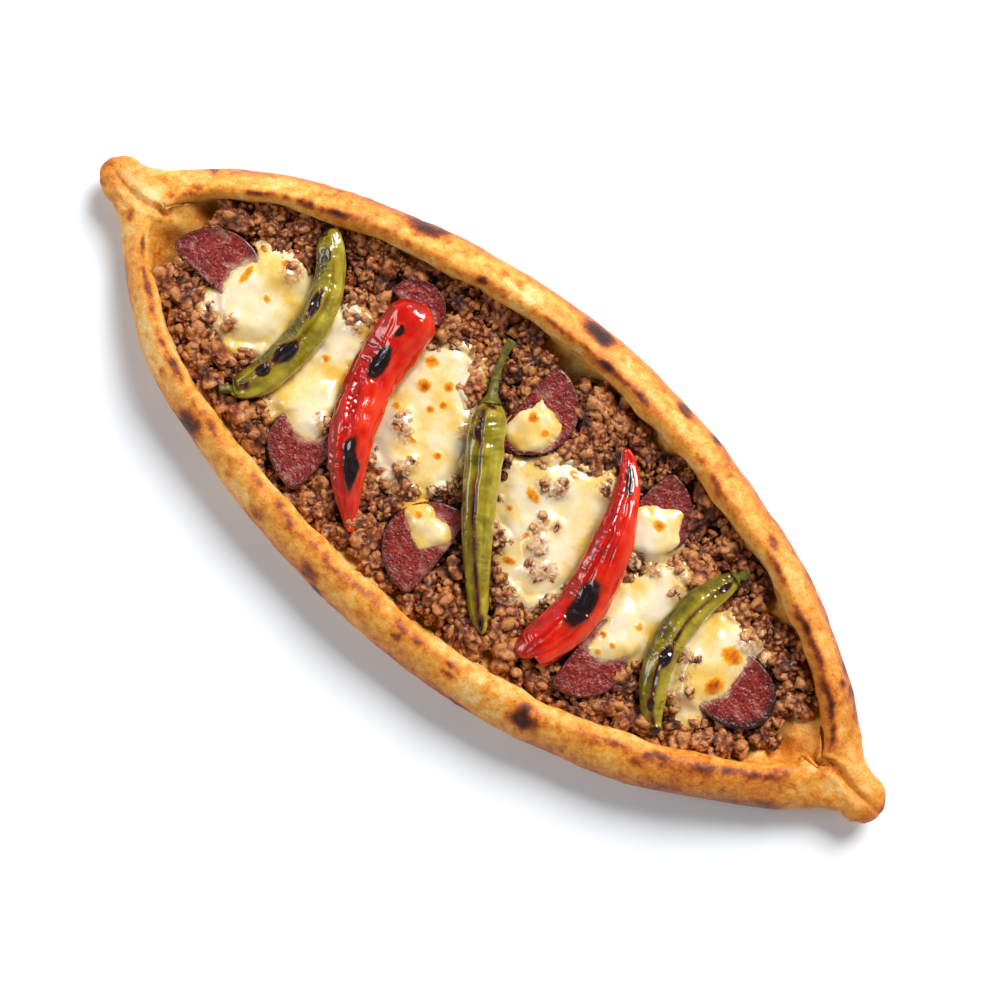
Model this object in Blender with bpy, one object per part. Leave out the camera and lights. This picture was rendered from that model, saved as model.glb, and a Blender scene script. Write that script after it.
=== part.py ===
"""A Turkish pide: a boat of baked dough with a rolled rim and two pinched tips. It is filled with minced
meat and melted cheese, and slices of sucuk and roasted green and red peppers lie on top.

X runs along the boat, Y across it and Z up, with the origin under its middle, on the flat underside.
Lengths below are millimetres. MM turns them into metres where a mesh is made.
"""

import math

import bmesh
import bpy
from mathutils import Vector

MM = 0.001
GAP = 0.3  # left between pieces that touch

# The boat of dough.
HALF_LENGTH = 180.0
HALF_WIDTH = 69.8
BODY_HALF_LENGTH = 170.0  # where the two long sides would meet without the knobs
BODY_FULLNESS = 0.725
KNOB_CENTRE = 170.0  # distance from the middle to the middle of each pinched knob
KNOB_HALF_WIDTH = 9.5
SWELL_AT = -125.0  # one side swells a little towards one tip
SWELL_REACH = 30.0
SWELL = 4.2
RIM_HEIGHT = 24.5
FLOOR_HEIGHT = 4.5
KNOB_MIDDLE_HEIGHT = 11.0
KNOB_HALF_HEIGHT = 6.5
SEAM_DEPTH = 1.6  # the groove where the two sides are pinched together
SEAM_HALF_WIDTH = 1.2
STATION_STEP = 7.5

# The opening, on each side: half width, middle along X, half length, fullness towards -X and +X.
OPENING = {1: (54.3, -1.0, 151.0, 0.70, 0.70), -1: (53.0, -4.0, 150.0, 0.62, 0.75)}
FLOOR_RISE_FROM = 132.0  # the floor climbs from here to the corner of the opening
FLOOR_RISE_TO = 158.0

# The rim's section: how far from the inner edge (0) to the outer edge (1), and how high from the
# underside (0) to the crest (1).
RIM_SECTION = (
    (0.64, 0.0),
    (0.92, 0.15),
    (1.0, 0.36),
    (0.95, 0.62),
    (0.77, 0.84),
    (0.53, 0.96),
    (0.30, 1.0),
    (0.10, 0.94),
    (0.0, 0.78),
)
WALL_FOOT = 0.94  # of the opening's half width

FLOOR_DISH = 0.06  # how far the floor's edge stands over its middle, of the rim's depth

# The filling.
MINCE_END = {-1: 139.0, 1: 131.0}
MINCE_LOW = 11.0  # pressed down under the toppings
MINCE_RISE = 3.2  # higher where nothing lies on it
MINCE_CLEAR = (2.0, 7.0)  # distance from a topping over which the heap climbs
MINCE_THIN = 0.35  # share of that rise lost beside the rim
MINCE_FOOT = 0.97 * WALL_FOOT  # of the opening's half width
MINCE_EDGE = 0.93  # of the opening's half width
MINCE_COLUMNS = 46
MINCE_ROWS = 14

# The toppings.
SLICE_BOTTOM = 11.6
SLICE_THICKNESS = 4.2
SLICE_TOP = SLICE_BOTTOM + SLICE_THICKNESS
SLICE_DISH = 0.35  # the middle lies this much lower than the casing
SLICE_DISH_REACH = 12.0
SLICE_BEVEL = 0.5
CHEESE_THICKNESS = 3.0
CHEESE_BEVEL = 0.8
CHEESE_SAG = (3.0, 10.0)  # distance from a slice over which the cheese comes down from it
CAP_THICKNESS = 1.5  # of cheese over a slice
CHEESE_POINTS = 22
PEPPER_REST = 12.2
PEPPER_STEPS = 20
PEPPER_POINTS = 12
OVER_SLICE = SLICE_TOP + GAP


def smoothstep(low, high, value):
    t = min(max((value - low) / (high - low), 0.0), 1.0)
    return t * t * (3.0 - 2.0 * t)


def wave(x, phase):
    """Gentle unevenness along the boat, from -1 to 1."""
    slow = math.sin(x / 21.0 + phase)
    quick = math.sin(x / 9.3 + 2.3 * phase)
    return 0.6 * slow + 0.4 * quick


# --- Where the boat's edges and surfaces are ---------------------------------------------------------


def outer_edge(x, side):
    """Half width of the boat at x, on the +Y side (1) or the -Y side (-1)."""
    along = min(abs(x) / BODY_HALF_LENGTH, 1.0)
    body = HALF_WIDTH * (1.0 - along**2) ** BODY_FULLNESS
    from_knob = (abs(x) - KNOB_CENTRE) / (HALF_LENGTH - KNOB_CENTRE)
    knob = KNOB_HALF_WIDTH * math.sqrt(max(1.0 - from_knob**2, 0.0))
    width = (body**3 + knob**3) ** (1.0 / 3.0)
    if side < 0:
        width += SWELL * math.exp(-(((x - SWELL_AT) / SWELL_REACH) ** 2)) * min(body / 20.0, 1.0)
    ripple = 0.7 * wave(x, 1.3 * side) * smoothstep(12.0, 50.0, abs(x)) * min(body / 30.0, 1.0)
    return width + ripple


def inner_edge(x, side):
    """Half width of the opening at x, which narrows to the seam's half width past its corners."""
    half_width, middle, half_length, left_fullness, right_fullness = OPENING[side]
    along = min(abs(x - middle) / half_length, 1.0)
    width = half_width * (1.0 - along**2) ** (left_fullness if x < middle else right_fullness)
    if side < 0:
        width += 0.7 * SWELL * math.exp(-(((x - SWELL_AT) / SWELL_REACH) ** 2)) * (1.0 - along**4)
    width += 0.7 * wave(x, 0.7 + side) * min(width / 20.0, 1.0)
    return max(width, SEAM_HALF_WIDTH)


def knob_round(x):
    """How much of the knob's height is left at x: 1 along the boat, 0 at the very end."""
    past = max(abs(x) - KNOB_CENTRE, 0.0) / (HALF_LENGTH - KNOB_CENTRE)
    return math.sqrt(max(1.0 - past**2, 0.0))


def crest_height(x, side):
    to_knob = smoothstep(120.0, 168.0, abs(x))
    knob_top = KNOB_MIDDLE_HEIGHT + KNOB_HALF_HEIGHT * knob_round(x)
    lively = 0.7 * wave(x, 2.0 + side) * (1.0 - to_knob)
    return RIM_HEIGHT + lively + (knob_top - RIM_HEIGHT) * to_knob


def base_height(x):
    """The underside is flat, and lifts a little under each knob."""
    lift = smoothstep(146.0, 172.0, abs(x))
    return lift * (KNOB_MIDDLE_HEIGHT - KNOB_HALF_HEIGHT * knob_round(x))


def floor_height(x):
    rise = smoothstep(FLOOR_RISE_FROM, FLOOR_RISE_TO, abs(x))
    seam = min(crest_height(x, 1), crest_height(x, -1)) - SEAM_DEPTH
    return FLOOR_HEIGHT + (seam - FLOOR_HEIGHT) * rise


# --- Meshes ------------------------------------------------------------------------------------------


def material(name, colour, roughness):
    """A matt or greasy food surface of one colour."""
    made = bpy.data.materials.new(name)
    made.use_nodes = True
    shader = made.node_tree.nodes["Principled BSDF"]
    shader.inputs["Base Color"].default_value = (*colour, 1.0)
    shader.inputs["Roughness"].default_value = roughness
    shader.inputs["Metallic"].default_value = 0.0
    return made


def add_object(name, bm, finish):
    """Turns a bmesh in millimetres into a smooth object in metres."""
    bmesh.ops.recalc_face_normals(bm, faces=bm.faces)
    if bm.calc_volume(signed=True) < 0.0:
        bmesh.ops.reverse_faces(bm, faces=bm.faces)
    bmesh.ops.scale(bm, vec=(MM, MM, MM), verts=bm.verts)
    mesh = bpy.data.meshes.new(name)
    bm.to_mesh(mesh)
    bm.free()
    mesh.materials.append(finish)
    mesh.shade_smooth()
    made = bpy.data.objects.new(name, mesh)
    bpy.context.scene.collection.objects.link(made)
    return made


def loft(rings):
    """A closed skin through rings of equally many points, with a fan over the first and the last ring."""
    bm = bmesh.new()
    loops = [[bm.verts.new(point) for point in ring] for ring in rings]
    for low, high in zip(loops, loops[1:]):
        for here, after in zip(range(len(low)), [*range(1, len(low)), 0]):
            bm.faces.new((low[here], low[after], high[after], high[here]))
    for ring in (loops[0], loops[-1]):
        middle = bm.verts.new(sum((v.co for v in ring), Vector()) / len(ring))
        for here, after in zip(ring, [*ring[1:], ring[0]]):
            bm.faces.new((middle, here, after))
    return bm


def smooth_curve(points, steps, closed):
    """Points on a smooth curve through the given ones, which may carry any number of values each."""
    count = len(points)
    spans = count if closed else count - 1
    curve = []
    for number in range(steps if closed else steps + 1):
        place = number * spans / steps
        span = min(int(place), spans - 1)
        t = place - span
        picks = [span - 1, span, span + 1, span + 2]
        if closed:
            p0, p1, p2, p3 = (points[i % count] for i in picks)
        else:
            p0, p1, p2, p3 = (points[min(max(i, 0), count - 1)] for i in picks)
        curve.append(
            tuple(
                b + 0.5 * t * (c - a + t * (2 * a - 5 * b + 4 * c - d + t * (3 * (b - c) + d - a)))
                for a, b, c, d in zip(p0, p1, p2, p3)
            )
        )
    return curve


def outline_distance(outline, x, y):
    """How far (x, y) lies outside a closed outline: negative inside."""
    nearest = math.inf
    inside = False
    for (ax, ay), (bx, by) in zip(outline, [*outline[1:], outline[0]]):
        dx, dy = bx - ax, by - ay
        t = min(max(((x - ax) * dx + (y - ay) * dy) / (dx * dx + dy * dy), 0.0), 1.0)
        nearest = min(nearest, math.hypot(x - ax - t * dx, y - ay - t * dy))
        if (ay > y) != (by > y) and x < ax + (y - ay) * dx / dy:
            inside = not inside
    return -nearest if inside else nearest


def widened(outline, by):
    """The outline with each point moved outward along its normal."""
    moved = []
    for before, here, after in zip([outline[-1], *outline[:-1]], outline, [*outline[1:], outline[0]]):
        along = (Vector(after) - Vector(before)).normalized()
        moved.append((here[0] + by * along.y, here[1] - by * along.x))
    return moved


# --- The boat ----------------------------------------------------------------------------------------


def crust_ring(x):
    """The boat's section at x, from the keel out to the +Y edge, in over the floor and round."""
    base = base_height(x)
    floor = floor_height(x)
    sides = {}
    for side in (1, -1):
        outer = outer_edge(x, side) * (knob_round(x) * 0.98 + 0.02)
        inner = inner_edge(x, side) * min(outer / 6.0, 1.0)
        crest = crest_height(x, side)
        half = [(0.5 * (inner + RIM_SECTION[0][0] * (outer - inner)), base)]
        for across, up in RIM_SECTION:
            half.append((inner + across * (outer - inner), base + up * (crest - base)))
        # Past the corners the wall shrinks to the shallow seam.
        lip_y, lip_z = half[-1]
        half[-1] = (lip_y, max(lip_z, floor + 0.3 * (crest - floor)))
        half.append((WALL_FOOT * inner, floor + FLOOR_DISH * (crest - floor)))
        half.append((0.5 * inner, floor))
        sides[side] = [(x, side * y, z) for y, z in half]
    return [(x, 0.0, base), *sides[1], (x, 0.0, floor), *reversed(sides[-1])]


def make_crust(finish):
    """The dough: stations along X, closer together at the knobs."""
    knob_start = 150.0
    body = int(knob_start / STATION_STEP)
    right = [STATION_STEP * i for i in range(body + 1)]
    right += [155.0, 160.0, 165.0, 169.0, 173.0, 176.5, 179.0, HALF_LENGTH]
    stations = [-x for x in reversed(right[1:])] + right
    return add_object("crust", loft([crust_ring(x) for x in stations]), finish)


# --- The mince ---------------------------------------------------------------------------------------


def mince_lumps(x, y):
    """Uneven clumps, from 0 to 1."""
    return 0.5 + 0.25 * math.sin(x / 4.1 + 1.7 * math.sin(y / 7.0)) + 0.25 * math.sin(y / 3.6 + x / 9.0)


def make_mince(finish, covers):
    """One heap over the whole floor, lower where toppings press on it."""
    length = MINCE_END[-1] + MINCE_END[1]
    xs = [-MINCE_END[-1] + length * i / MINCE_COLUMNS for i in range(MINCE_COLUMNS + 1)]
    rings = []
    for x in xs:
        floor = floor_height(x) + FLOOR_DISH * (RIM_HEIGHT - floor_height(x)) + GAP
        ring = [(x, side * MINCE_FOOT * inner_edge(x, side), floor) for side in (-1, 1)]
        for row in range(MINCE_ROWS + 1):
            across = 1.0 - 2.0 * row / MINCE_ROWS
            y = MINCE_EDGE * across * inner_edge(x, 1 if across > 0 else -1)
            clear = min(outline_distance(cover, x, y) for cover in covers)
            bare = smoothstep(*MINCE_CLEAR, clear) * (1.0 - MINCE_THIN * abs(across) ** 6)
            top = MINCE_LOW + bare * MINCE_RISE * (0.4 + 0.6 * mince_lumps(x, y))
            ring.append((x, y, max(top, floor + 1.0)))
        rings.append(ring)
    return add_object("mince", loft(rings), finish)


# --- Flat toppings: sucuk slices and cheese ----------------------------------------------------------


def pad(outline, middle, bottom, top, edge):
    """A flat piece with a rounded upper edge. top and bottom are heights, top as a function of x, y."""
    cx, cy = middle

    def ring(scale, height):
        points = []
        for px, py in outline:
            x, y = cx + scale * (px - cx), cy + scale * (py - cy)
            points.append((x, y, height(x, y)))
        return points

    rings = [
        ring(0.5, lambda x, y: bottom),
        ring(0.99, lambda x, y: bottom),
        ring(1.0, lambda x, y: bottom + 0.55 * (top(x, y) - edge - bottom)),
        ring(0.95, lambda x, y: top(x, y) - 0.4 * edge),
        ring(0.6, top),
    ]
    return loft(rings)


def half_moon(cx, cy, chord, depth, heading, count=22):
    """A slice cut in two: an arc that bulges towards heading, and a nearly straight chord."""
    turn = math.radians(heading)
    points = []
    for i in range(count):
        angle = 2.0 * math.pi * (i + 0.5) / count
        along, out = math.cos(angle), math.sin(angle)
        squared = abs(along) ** 0.9 * math.copysign(1.0, along)
        reach = depth * out if out > 0 else 0.10 * depth * out
        across = 0.5 * chord * (along if out > 0 else squared)
        points.append(
            (
                cx + reach * math.cos(turn) + across * math.sin(turn),
                cy + reach * math.sin(turn) - across * math.cos(turn),
            )
        )
    return points


def ellipse(cx, cy, length, width, count=22):
    angles = [2.0 * math.pi * i / count for i in range(count)]
    return [(cx + 0.5 * length * math.cos(a), cy + 0.5 * width * math.sin(a)) for a in angles]


# Each half slice of sucuk: middle of its chord, chord, depth, and the heading of its round side.
HALF_SLICES = {
    "sucuk_1": (-123.5, -7.0, 37.0, 18.5, 88.0),
    "sucuk_2": (-61.5, 31.5, 22.0, 10.5, 92.0),
    "sucuk_3": (-53.5, -30.0, 32.5, 21.0, 180.0),
    "sucuk_4": (0.0, -30.5, 36.0, 20.5, 182.0),
    "sucuk_5": (-9.5, 31.0, 35.0, 19.0, 0.0),
    "sucuk_6": (44.5, 30.0, 32.0, 20.0, -5.0),
    "sucuk_7": (60.8, -24.0, 32.0, 17.5, 0.0),
}
WHOLE_SLICE = (110.2, 0.7, 34.5, 26.5)  # sucuk_8: middle, length along X and width


def slice_outlines():
    outlines = {name: half_moon(*sizes) for name, sizes in HALF_SLICES.items()}
    outlines["sucuk_8"] = ellipse(*WHOLE_SLICE)
    return outlines


def outline_middle(outline):
    return tuple(sum(values) / len(outline) for values in zip(*outline))


def make_slice(name, outline, finish):
    """A slice with a slightly raised casing edge."""
    middle = outline_middle(outline)

    def top(x, y):
        from_middle = math.hypot(x - middle[0], y - middle[1])
        return SLICE_TOP - SLICE_DISH * (1.0 - smoothstep(0.0, SLICE_DISH_REACH, from_middle))

    return add_object(name, pad(outline, middle, SLICE_BOTTOM, top, SLICE_BEVEL), finish)


# Cheese melted between the peppers, which also runs over part of the slices that lie there.
CHEESE = {
    "cheese_1": (
        (-119.5, -6), (-113, -15), (-101, -18), (-94.5, -10), (-94, 2), (-97, 13), (-108, 14), (-118, 7),
    ),
    "cheese_2": (
        (-77.8, 0), (-79, 12), (-74, 15.5), (-70.2, 10), (-68.5, 0), (-64, -9), (-58.5, -20), (-58, -28),
        (-66, -30), (-74, -27), (-80, -25), (-79, -12),
    ),
    "cheese_3": (
        (-47.8, 20), (-43, 28.5), (-36, 29), (-32, 20), (-25, 14.5), (-19.5, 3.5), (-14, -5), (-16, -12),
        (-22, -18), (-31, -17.5), (-39, -14), (-44.8, -6), (-48.3, 7),
    ),
    "cheese_4": (
        (3, 13), (11, 20), (20, 25.5), (29, 26), (34, 19), (36.7, 8), (38.7, -4), (40, -14), (34, -22),
        (26, -19), (15.5, -10), (8, -2), (2.5, 6),
    ),
    "cheese_5": (
        (62.5, 10), (68, 18), (74, 18), (74.3, 9), (74.3, 0), (76.5, -9), (75, -16), (69, -22), (62, -23),
        (61, -13), (60.3, -4), (59, 4),
    ),
    "cheese_6": (
        (89.7, 0), (89.2, 10), (93, 17), (101, 17.5), (108, 13), (109.5, 3), (109, -6), (104, -14.5),
        (96.5, -13), (92.5, -8),
    ),
}
UNDER_CHEESE = {"cheese_1": "sucuk_1", "cheese_2": "sucuk_3", "cheese_5": "sucuk_7", "cheese_6": "sucuk_8"}

# Cheese that lies wholly on one slice: middle, length along X, width.
CAPS = {
    "cheese_7": (-1.0, 26.5, 13.0, 14.5),
    "cheese_8": (54.5, 24.0, 14.5, 15.0),
    "cheese_9": (-8.5, -24.8, 17.5, 8.5),
}


def make_cheese(name, outline, finish, under):
    """A melted patch. Where it covers a slice it climbs over it, and a cutter keeps the slice's room."""

    def top(x, y):
        over = CAP_THICKNESS + SLICE_TOP + GAP
        flat = SLICE_BOTTOM + CHEESE_THICKNESS
        if under is None:
            return flat
        return over + (flat - over) * smoothstep(*CHEESE_SAG, outline_distance(under, x, y))

    middle = outline_middle(outline)
    patch = add_object(name, pad(outline, middle, SLICE_BOTTOM, top, CHEESE_BEVEL), finish)
    if under is not None:
        room = widened(under, GAP)
        ends = [[(x, y, z) for x, y in room] for z in (SLICE_BOTTOM - 2.0, SLICE_TOP + GAP)]
        cutter = add_object(f"{name}_room", loft(ends), finish)
        cutter.hide_render = True
        cutter.display_type = "WIRE"
        cut = patch.modifiers.new("room for the slice", "BOOLEAN")
        cut.operation = "DIFFERENCE"
        cut.object = cutter
    return patch


def make_cap(name, sizes, finish):
    outline = ellipse(*sizes, count=16)

    def top(x, y):
        return OVER_SLICE + CAP_THICKNESS

    return add_object(name, pad(outline, outline_middle(outline), OVER_SLICE, top, SLICE_BEVEL), finish)


# --- Roasted peppers ---------------------------------------------------------------------------------

# Centre lines: x, y, height of the underside, half width. The stems are the thin ends.
GREEN_PEPPERS = {
    "green_pepper_1": (
        (-101.5, 33, 15.0, 3.6), (-98, 28, 13.5, 5.4), (-93, 22, PEPPER_REST, 5.8),
        (-89, 15, PEPPER_REST, 6.2), (-86, 5, PEPPER_REST, 6.8), (-85.5, -5, PEPPER_REST, 6.9),
        (-86, -15, PEPPER_REST, 6.7),
        (-88, -24, PEPPER_REST, 6.2), (-91.5, -30, 13.0, 4.6), (-94, -32.5, 14.5, 2.0), (-99, -37, 16.5, 1.4),
    ),
    "green_pepper_2": (
        (-28, 46.5, 16.6, 1.4), (-27.5, 41, 16.0, 1.4), (-25, 33, 15.5, 1.4), (-20.5, 24.5, 15.5, 1.9),
        (-18, 20.5, 16.2, 6.0), (-14.5, 14.5, OVER_SLICE, 7.2), (-5, 0, 15.0, 7.0), (2, -10, OVER_SLICE, 6.4),
        (10, -20, 14.5, 5.6), (18, -29, PEPPER_REST, 4.7), (25, -37, PEPPER_REST, 3.3),
        (30.5, -41.8, PEPPER_REST, 1.5),
    ),
    "green_pepper_3": (
        (90.0, 37.6, 18.0, 1.2), (88, 33.5, 16.0, 1.4), (86.2, 30.5, 14.0, 3.4), (84.5, 25, PEPPER_REST, 5.0),
        (82, 16, PEPPER_REST, 6.0), (81.5, 8, PEPPER_REST, 6.4), (82, 0, PEPPER_REST, 6.4),
        (85, -10, PEPPER_REST, 6.0), (90, -19, PEPPER_REST, 5.2), (96, -26, PEPPER_REST, 3.7),
        (99.8, -28.2, 14.0, 2.0), (102, -29.0, 16.5, 1.0),
    ),
}
RED_PEPPERS = {
    "red_pepper_1": (
        (-60.3, 34.5, OVER_SLICE + 1.0, 7.0), (-60, 31, OVER_SLICE, 9.3), (-59.7, 24, 14.6, 10.0),
        (-59, 14, PEPPER_REST, 10.2), (-57.8, 4, PEPPER_REST, 9.6), (-55, -5, 14.0, 9.0),
        (-51, -15, OVER_SLICE, 8.6), (-45, -25, OVER_SLICE, 7.6), (-38, -34, 14.8, 5.4),
        (-32, -40.5, 13.4, 3.2), (-28.3, -43.8, 13.4, 1.4),
    ),
    "red_pepper_2": (
        (25.8, 41.8, 13.8, 1.0), (31, 38, 13.2, 2.8), (36, 32, 14.0, 4.4), (40, 24, 15.6, 5.7),
        (44, 15, OVER_SLICE, 7.4), (47.5, 5, 14.0, 8.6), (50, -5, PEPPER_REST, 9.0),
        (51, -15, PEPPER_REST, 9.0), (50, -25, PEPPER_REST, 8.7), (48, -33, PEPPER_REST, 8.2),
        (46.5, -37.5, 13.0, 6.4),
    ),
}
GREEN_FLATNESS = 0.74  # height over width
RED_FLATNESS = 0.53
LEAST_HALF_HEIGHT = 1.2  # of a stem


def make_pepper(name, line, flatness, finish):
    """A flattened, folded tube that follows its centre line and lies on what is under it."""
    curve = smooth_curve(line, PEPPER_STEPS, closed=False)
    rings = []
    for number, (x, y, rest, half_width) in enumerate(curve):
        before = Vector(curve[max(number - 1, 0)][:2])
        after = Vector(curve[min(number + 1, PEPPER_STEPS)][:2])
        along = (after - before).normalized()
        half_height = max(flatness * half_width, LEAST_HALF_HEIGHT)
        ring = []
        for point in range(PEPPER_POINTS):
            angle = 2.0 * math.pi * point / PEPPER_POINTS
            fold = 1.0 - 0.05 * (1.0 + math.cos(3.0 * angle + 0.11 * number)) * (half_width > 3.0)
            out = half_width * fold * math.cos(angle)
            up = half_height * (1.0 + fold * math.sin(angle))
            ring.append((x + along.y * out, y - along.x * out, rest + up))
        rings.append(ring)
    return add_object(name, loft(rings), finish)


def pepper_shadow(line):
    """A coarse outline of the ground that a pepper covers."""
    left, right = [], []
    for before, here, after in zip((line[0], *line[:-1]), line, (*line[1:], line[-1])):
        along = (Vector(after[:2]) - Vector(before[:2])).normalized()
        x, y, half_width = here[0], here[1], here[3]
        left.append((x + along.y * half_width, y - along.x * half_width))
        right.append((x - along.y * half_width, y + along.x * half_width))
    return left + right[::-1]


# --- Build -------------------------------------------------------------------------------------------

for old in list(bpy.data.objects):
    bpy.data.objects.remove(old)

dough = material("baked dough", (0.76, 0.38, 0.11), 0.55)
meat = material("minced meat", (0.22, 0.085, 0.03), 0.45)
cheese = material("melted cheese", (0.92, 0.68, 0.30), 0.35)
sucuk = material("sucuk", (0.20, 0.025, 0.02), 0.40)
green = material("roasted green pepper", (0.25, 0.20, 0.03), 0.35)
red = material("roasted red pepper", (0.50, 0.03, 0.01), 0.25)

slices = slice_outlines()
patches = {name: smooth_curve(points, CHEESE_POINTS, closed=True) for name, points in CHEESE.items()}
shadows = [pepper_shadow(line) for line in (*GREEN_PEPPERS.values(), *RED_PEPPERS.values())]

make_crust(dough)
make_mince(meat, [*slices.values(), *patches.values(), *shadows])
for name, outline in slices.items():
    make_slice(name, outline, sucuk)
for name, outline in patches.items():
    make_cheese(name, outline, cheese, slices.get(UNDER_CHEESE.get(name)))
for name, sizes in CAPS.items():
    make_cap(name, sizes, cheese)
for name, line in GREEN_PEPPERS.items():
    make_pepper(name, line, GREEN_FLATNESS, green)
for name, line in RED_PEPPERS.items():
    make_pepper(name, line, RED_FLATNESS, red)
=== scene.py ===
import math
import random

import bpy
import numpy as np
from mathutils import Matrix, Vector, noise
from mathutils.bvhtree import BVHTree


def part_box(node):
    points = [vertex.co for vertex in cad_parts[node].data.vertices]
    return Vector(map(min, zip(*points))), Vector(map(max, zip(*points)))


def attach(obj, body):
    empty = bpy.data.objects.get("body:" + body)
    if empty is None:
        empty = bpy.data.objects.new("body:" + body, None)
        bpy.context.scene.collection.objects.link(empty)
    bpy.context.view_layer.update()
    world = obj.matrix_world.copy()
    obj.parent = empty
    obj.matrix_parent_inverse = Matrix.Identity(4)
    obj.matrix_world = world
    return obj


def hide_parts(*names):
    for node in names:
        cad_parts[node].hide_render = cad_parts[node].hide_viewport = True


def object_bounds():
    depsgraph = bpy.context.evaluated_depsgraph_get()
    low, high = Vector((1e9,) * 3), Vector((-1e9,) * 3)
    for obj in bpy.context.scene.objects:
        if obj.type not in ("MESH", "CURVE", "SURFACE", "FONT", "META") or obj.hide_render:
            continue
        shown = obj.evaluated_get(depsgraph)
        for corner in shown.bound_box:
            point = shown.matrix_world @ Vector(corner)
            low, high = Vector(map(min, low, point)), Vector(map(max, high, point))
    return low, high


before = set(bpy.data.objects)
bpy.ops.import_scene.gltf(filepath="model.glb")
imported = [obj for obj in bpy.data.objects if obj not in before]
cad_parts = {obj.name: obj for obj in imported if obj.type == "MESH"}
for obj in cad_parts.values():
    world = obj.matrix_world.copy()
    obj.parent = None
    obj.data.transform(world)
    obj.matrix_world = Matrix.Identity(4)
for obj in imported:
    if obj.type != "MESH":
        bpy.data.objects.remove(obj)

cad_low, cad_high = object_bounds()

# ============================================================================
# The boat: a sheet of leavened dough whose long sides are rolled inwards and whose ends are pinched and
# twisted shut. In a hot stone oven the raised rim toasts in broken dark patches, while the lower parts
# stay golden and the inside stays pale. Lengths are millimetres, and MM turns them into metres.
# ============================================================================

MM = 0.001
half_length = cad_high.x / MM
half_width = cad_high.y / MM
rim_height = 0.98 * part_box("crust")[1].z / MM
dough_thickness = 4.5
# Each tip ends in a knob of twisted dough.
knob_centre = half_length - 10.0
knob_half_width = 9.5
knob_middle_height = 11.0
knob_half_height = 6.5
swell_at, swell_reach, swell = -125.0, 30.0, 4.2  # one long side swells towards one tip
hull_fullness = 0.725
seam_half_width = 1.2
puff_height = 6.5
# Distances from the middle between which the rim sinks to the knobs, the floor rises to the seam, the
# sides close over it, and the underside lifts off the table.
rim_sinks, floor_rises = (120.0, 168.0), (139.0, 157.0)
sides_close, tips_lift = (150.0, 158.0), (146.0, 172.0)

# The opening on each side: half width, middle along X, half length, fullness towards -X and +X.
opening = {1: (54.3, -1.0, 151.0, 0.70, 0.70), -1: (53.0, -4.0, 150.0, 0.62, 0.75)}


def ease(low, high, value):
    t = np.clip((value - low) / (high - low), 0.0, 1.0)
    return t * t * (3.0 - 2.0 * t)


def bell(value, middle, reach):
    """1 at the middle, falling softly to 0 on both sides of it."""
    return np.exp(-(((value - middle) / reach) ** 2))


def lumps(points, size, seed):
    """Smooth unevenness from -1 to 1 with lumps about this many millimetres apart."""
    flat = np.asarray(points, float).reshape(-1, 3) / size + seed * 17.31
    return np.array([noise.noise(p) for p in flat.tolist()]).reshape(np.shape(points)[:-1])


def lumps_along(x, size, seed):
    """The same along one line."""
    x = np.asarray(x, float)
    return lumps(np.stack([x, 0.0 * x, 0.0 * x], -1), size, seed)


def spot(x, y, cx, cy, rx, ry, turn=0.0):
    """1 inside an oval patch, falling softly to 0 around its edge."""
    c, s = math.cos(math.radians(turn)), math.sin(math.radians(turn))
    u, v = (x - cx) * c + (y - cy) * s, (y - cy) * c - (x - cx) * s
    return np.exp(-(((u / rx) ** 2 + (v / ry) ** 2) ** 1.5))


def wave(x, phase):
    return 0.6 * np.sin(x / 21.0 + phase) + 0.4 * np.sin(x / 9.3 + 2.3 * phase)


def swelling(x):
    return swell * bell(x, swell_at, swell_reach)


def outer_edge(x, side):
    """How far the boat reaches from its middle line."""
    along = np.minimum(np.abs(x) / (half_length - 10.0), 1.0)
    body = half_width * (1.0 - along**2) ** hull_fullness
    from_knob = (np.abs(x) - knob_centre) / (half_length - knob_centre)
    knob = knob_half_width * np.sqrt(np.maximum(1.0 - from_knob**2, 0.0))
    width = (body**3 + knob**3) ** (1.0 / 3.0)
    if side < 0:
        width = width + swelling(x) * np.minimum(body / 20.0, 1.0)
    return width + 0.7 * wave(x, 1.3 * side) * ease(12.0, 50.0, np.abs(x)) * np.minimum(body / 30.0, 1.0)


def inner_edge(x, side):
    """How far the opening reaches from the middle line."""
    half, middle, reach, left_fullness, right_fullness = opening[side]
    along = np.minimum(np.abs(x - middle) / reach, 1.0)
    width = half * (1.0 - along**2) ** np.where(x < middle, left_fullness, right_fullness)
    if side < 0:
        width = width + 0.7 * swelling(x) * (1.0 - along**4)
    width = width + 0.7 * wave(x, 0.7 + side) * np.minimum(width / 20.0, 1.0)
    return np.maximum(width, seam_half_width)


def knob_round(x):
    past = np.maximum(np.abs(x) - knob_centre, 0.0) / (half_length - knob_centre)
    return np.sqrt(np.maximum(1.0 - past**2, 0.0))


def crest_height(x, side):
    to_knob = ease(*rim_sinks, np.abs(x))
    knob_top = knob_middle_height + knob_half_height * knob_round(x)
    lively = 0.7 * wave(x, 2.0 + side) * (1.0 - to_knob)
    return rim_height + lively + (knob_top - rim_height) * to_knob


def floor_height(x):
    seam = np.minimum(crest_height(x, 1), crest_height(x, -1)) - 1.6
    return dough_thickness + (seam - dough_thickness) * ease(*floor_rises, np.abs(x))


def smooth_line(points, count):
    """Points at even steps on a smooth curve through a few of them."""
    points = np.asarray(points, float)
    ends = np.vstack([2 * points[0] - points[1], points, 2 * points[-1] - points[-2]])
    place = np.linspace(0.0, len(points) - 1.0, count)
    span = np.minimum(place.astype(int), len(points) - 2)
    t = (place - span)[:, None]
    a, b, c, d = (ends[span + i] for i in range(4))
    return b + 0.5 * t * (c - a + t * (2 * a - 5 * b + 4 * c - d + t * (3 * (b - c) + d - a)))


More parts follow.
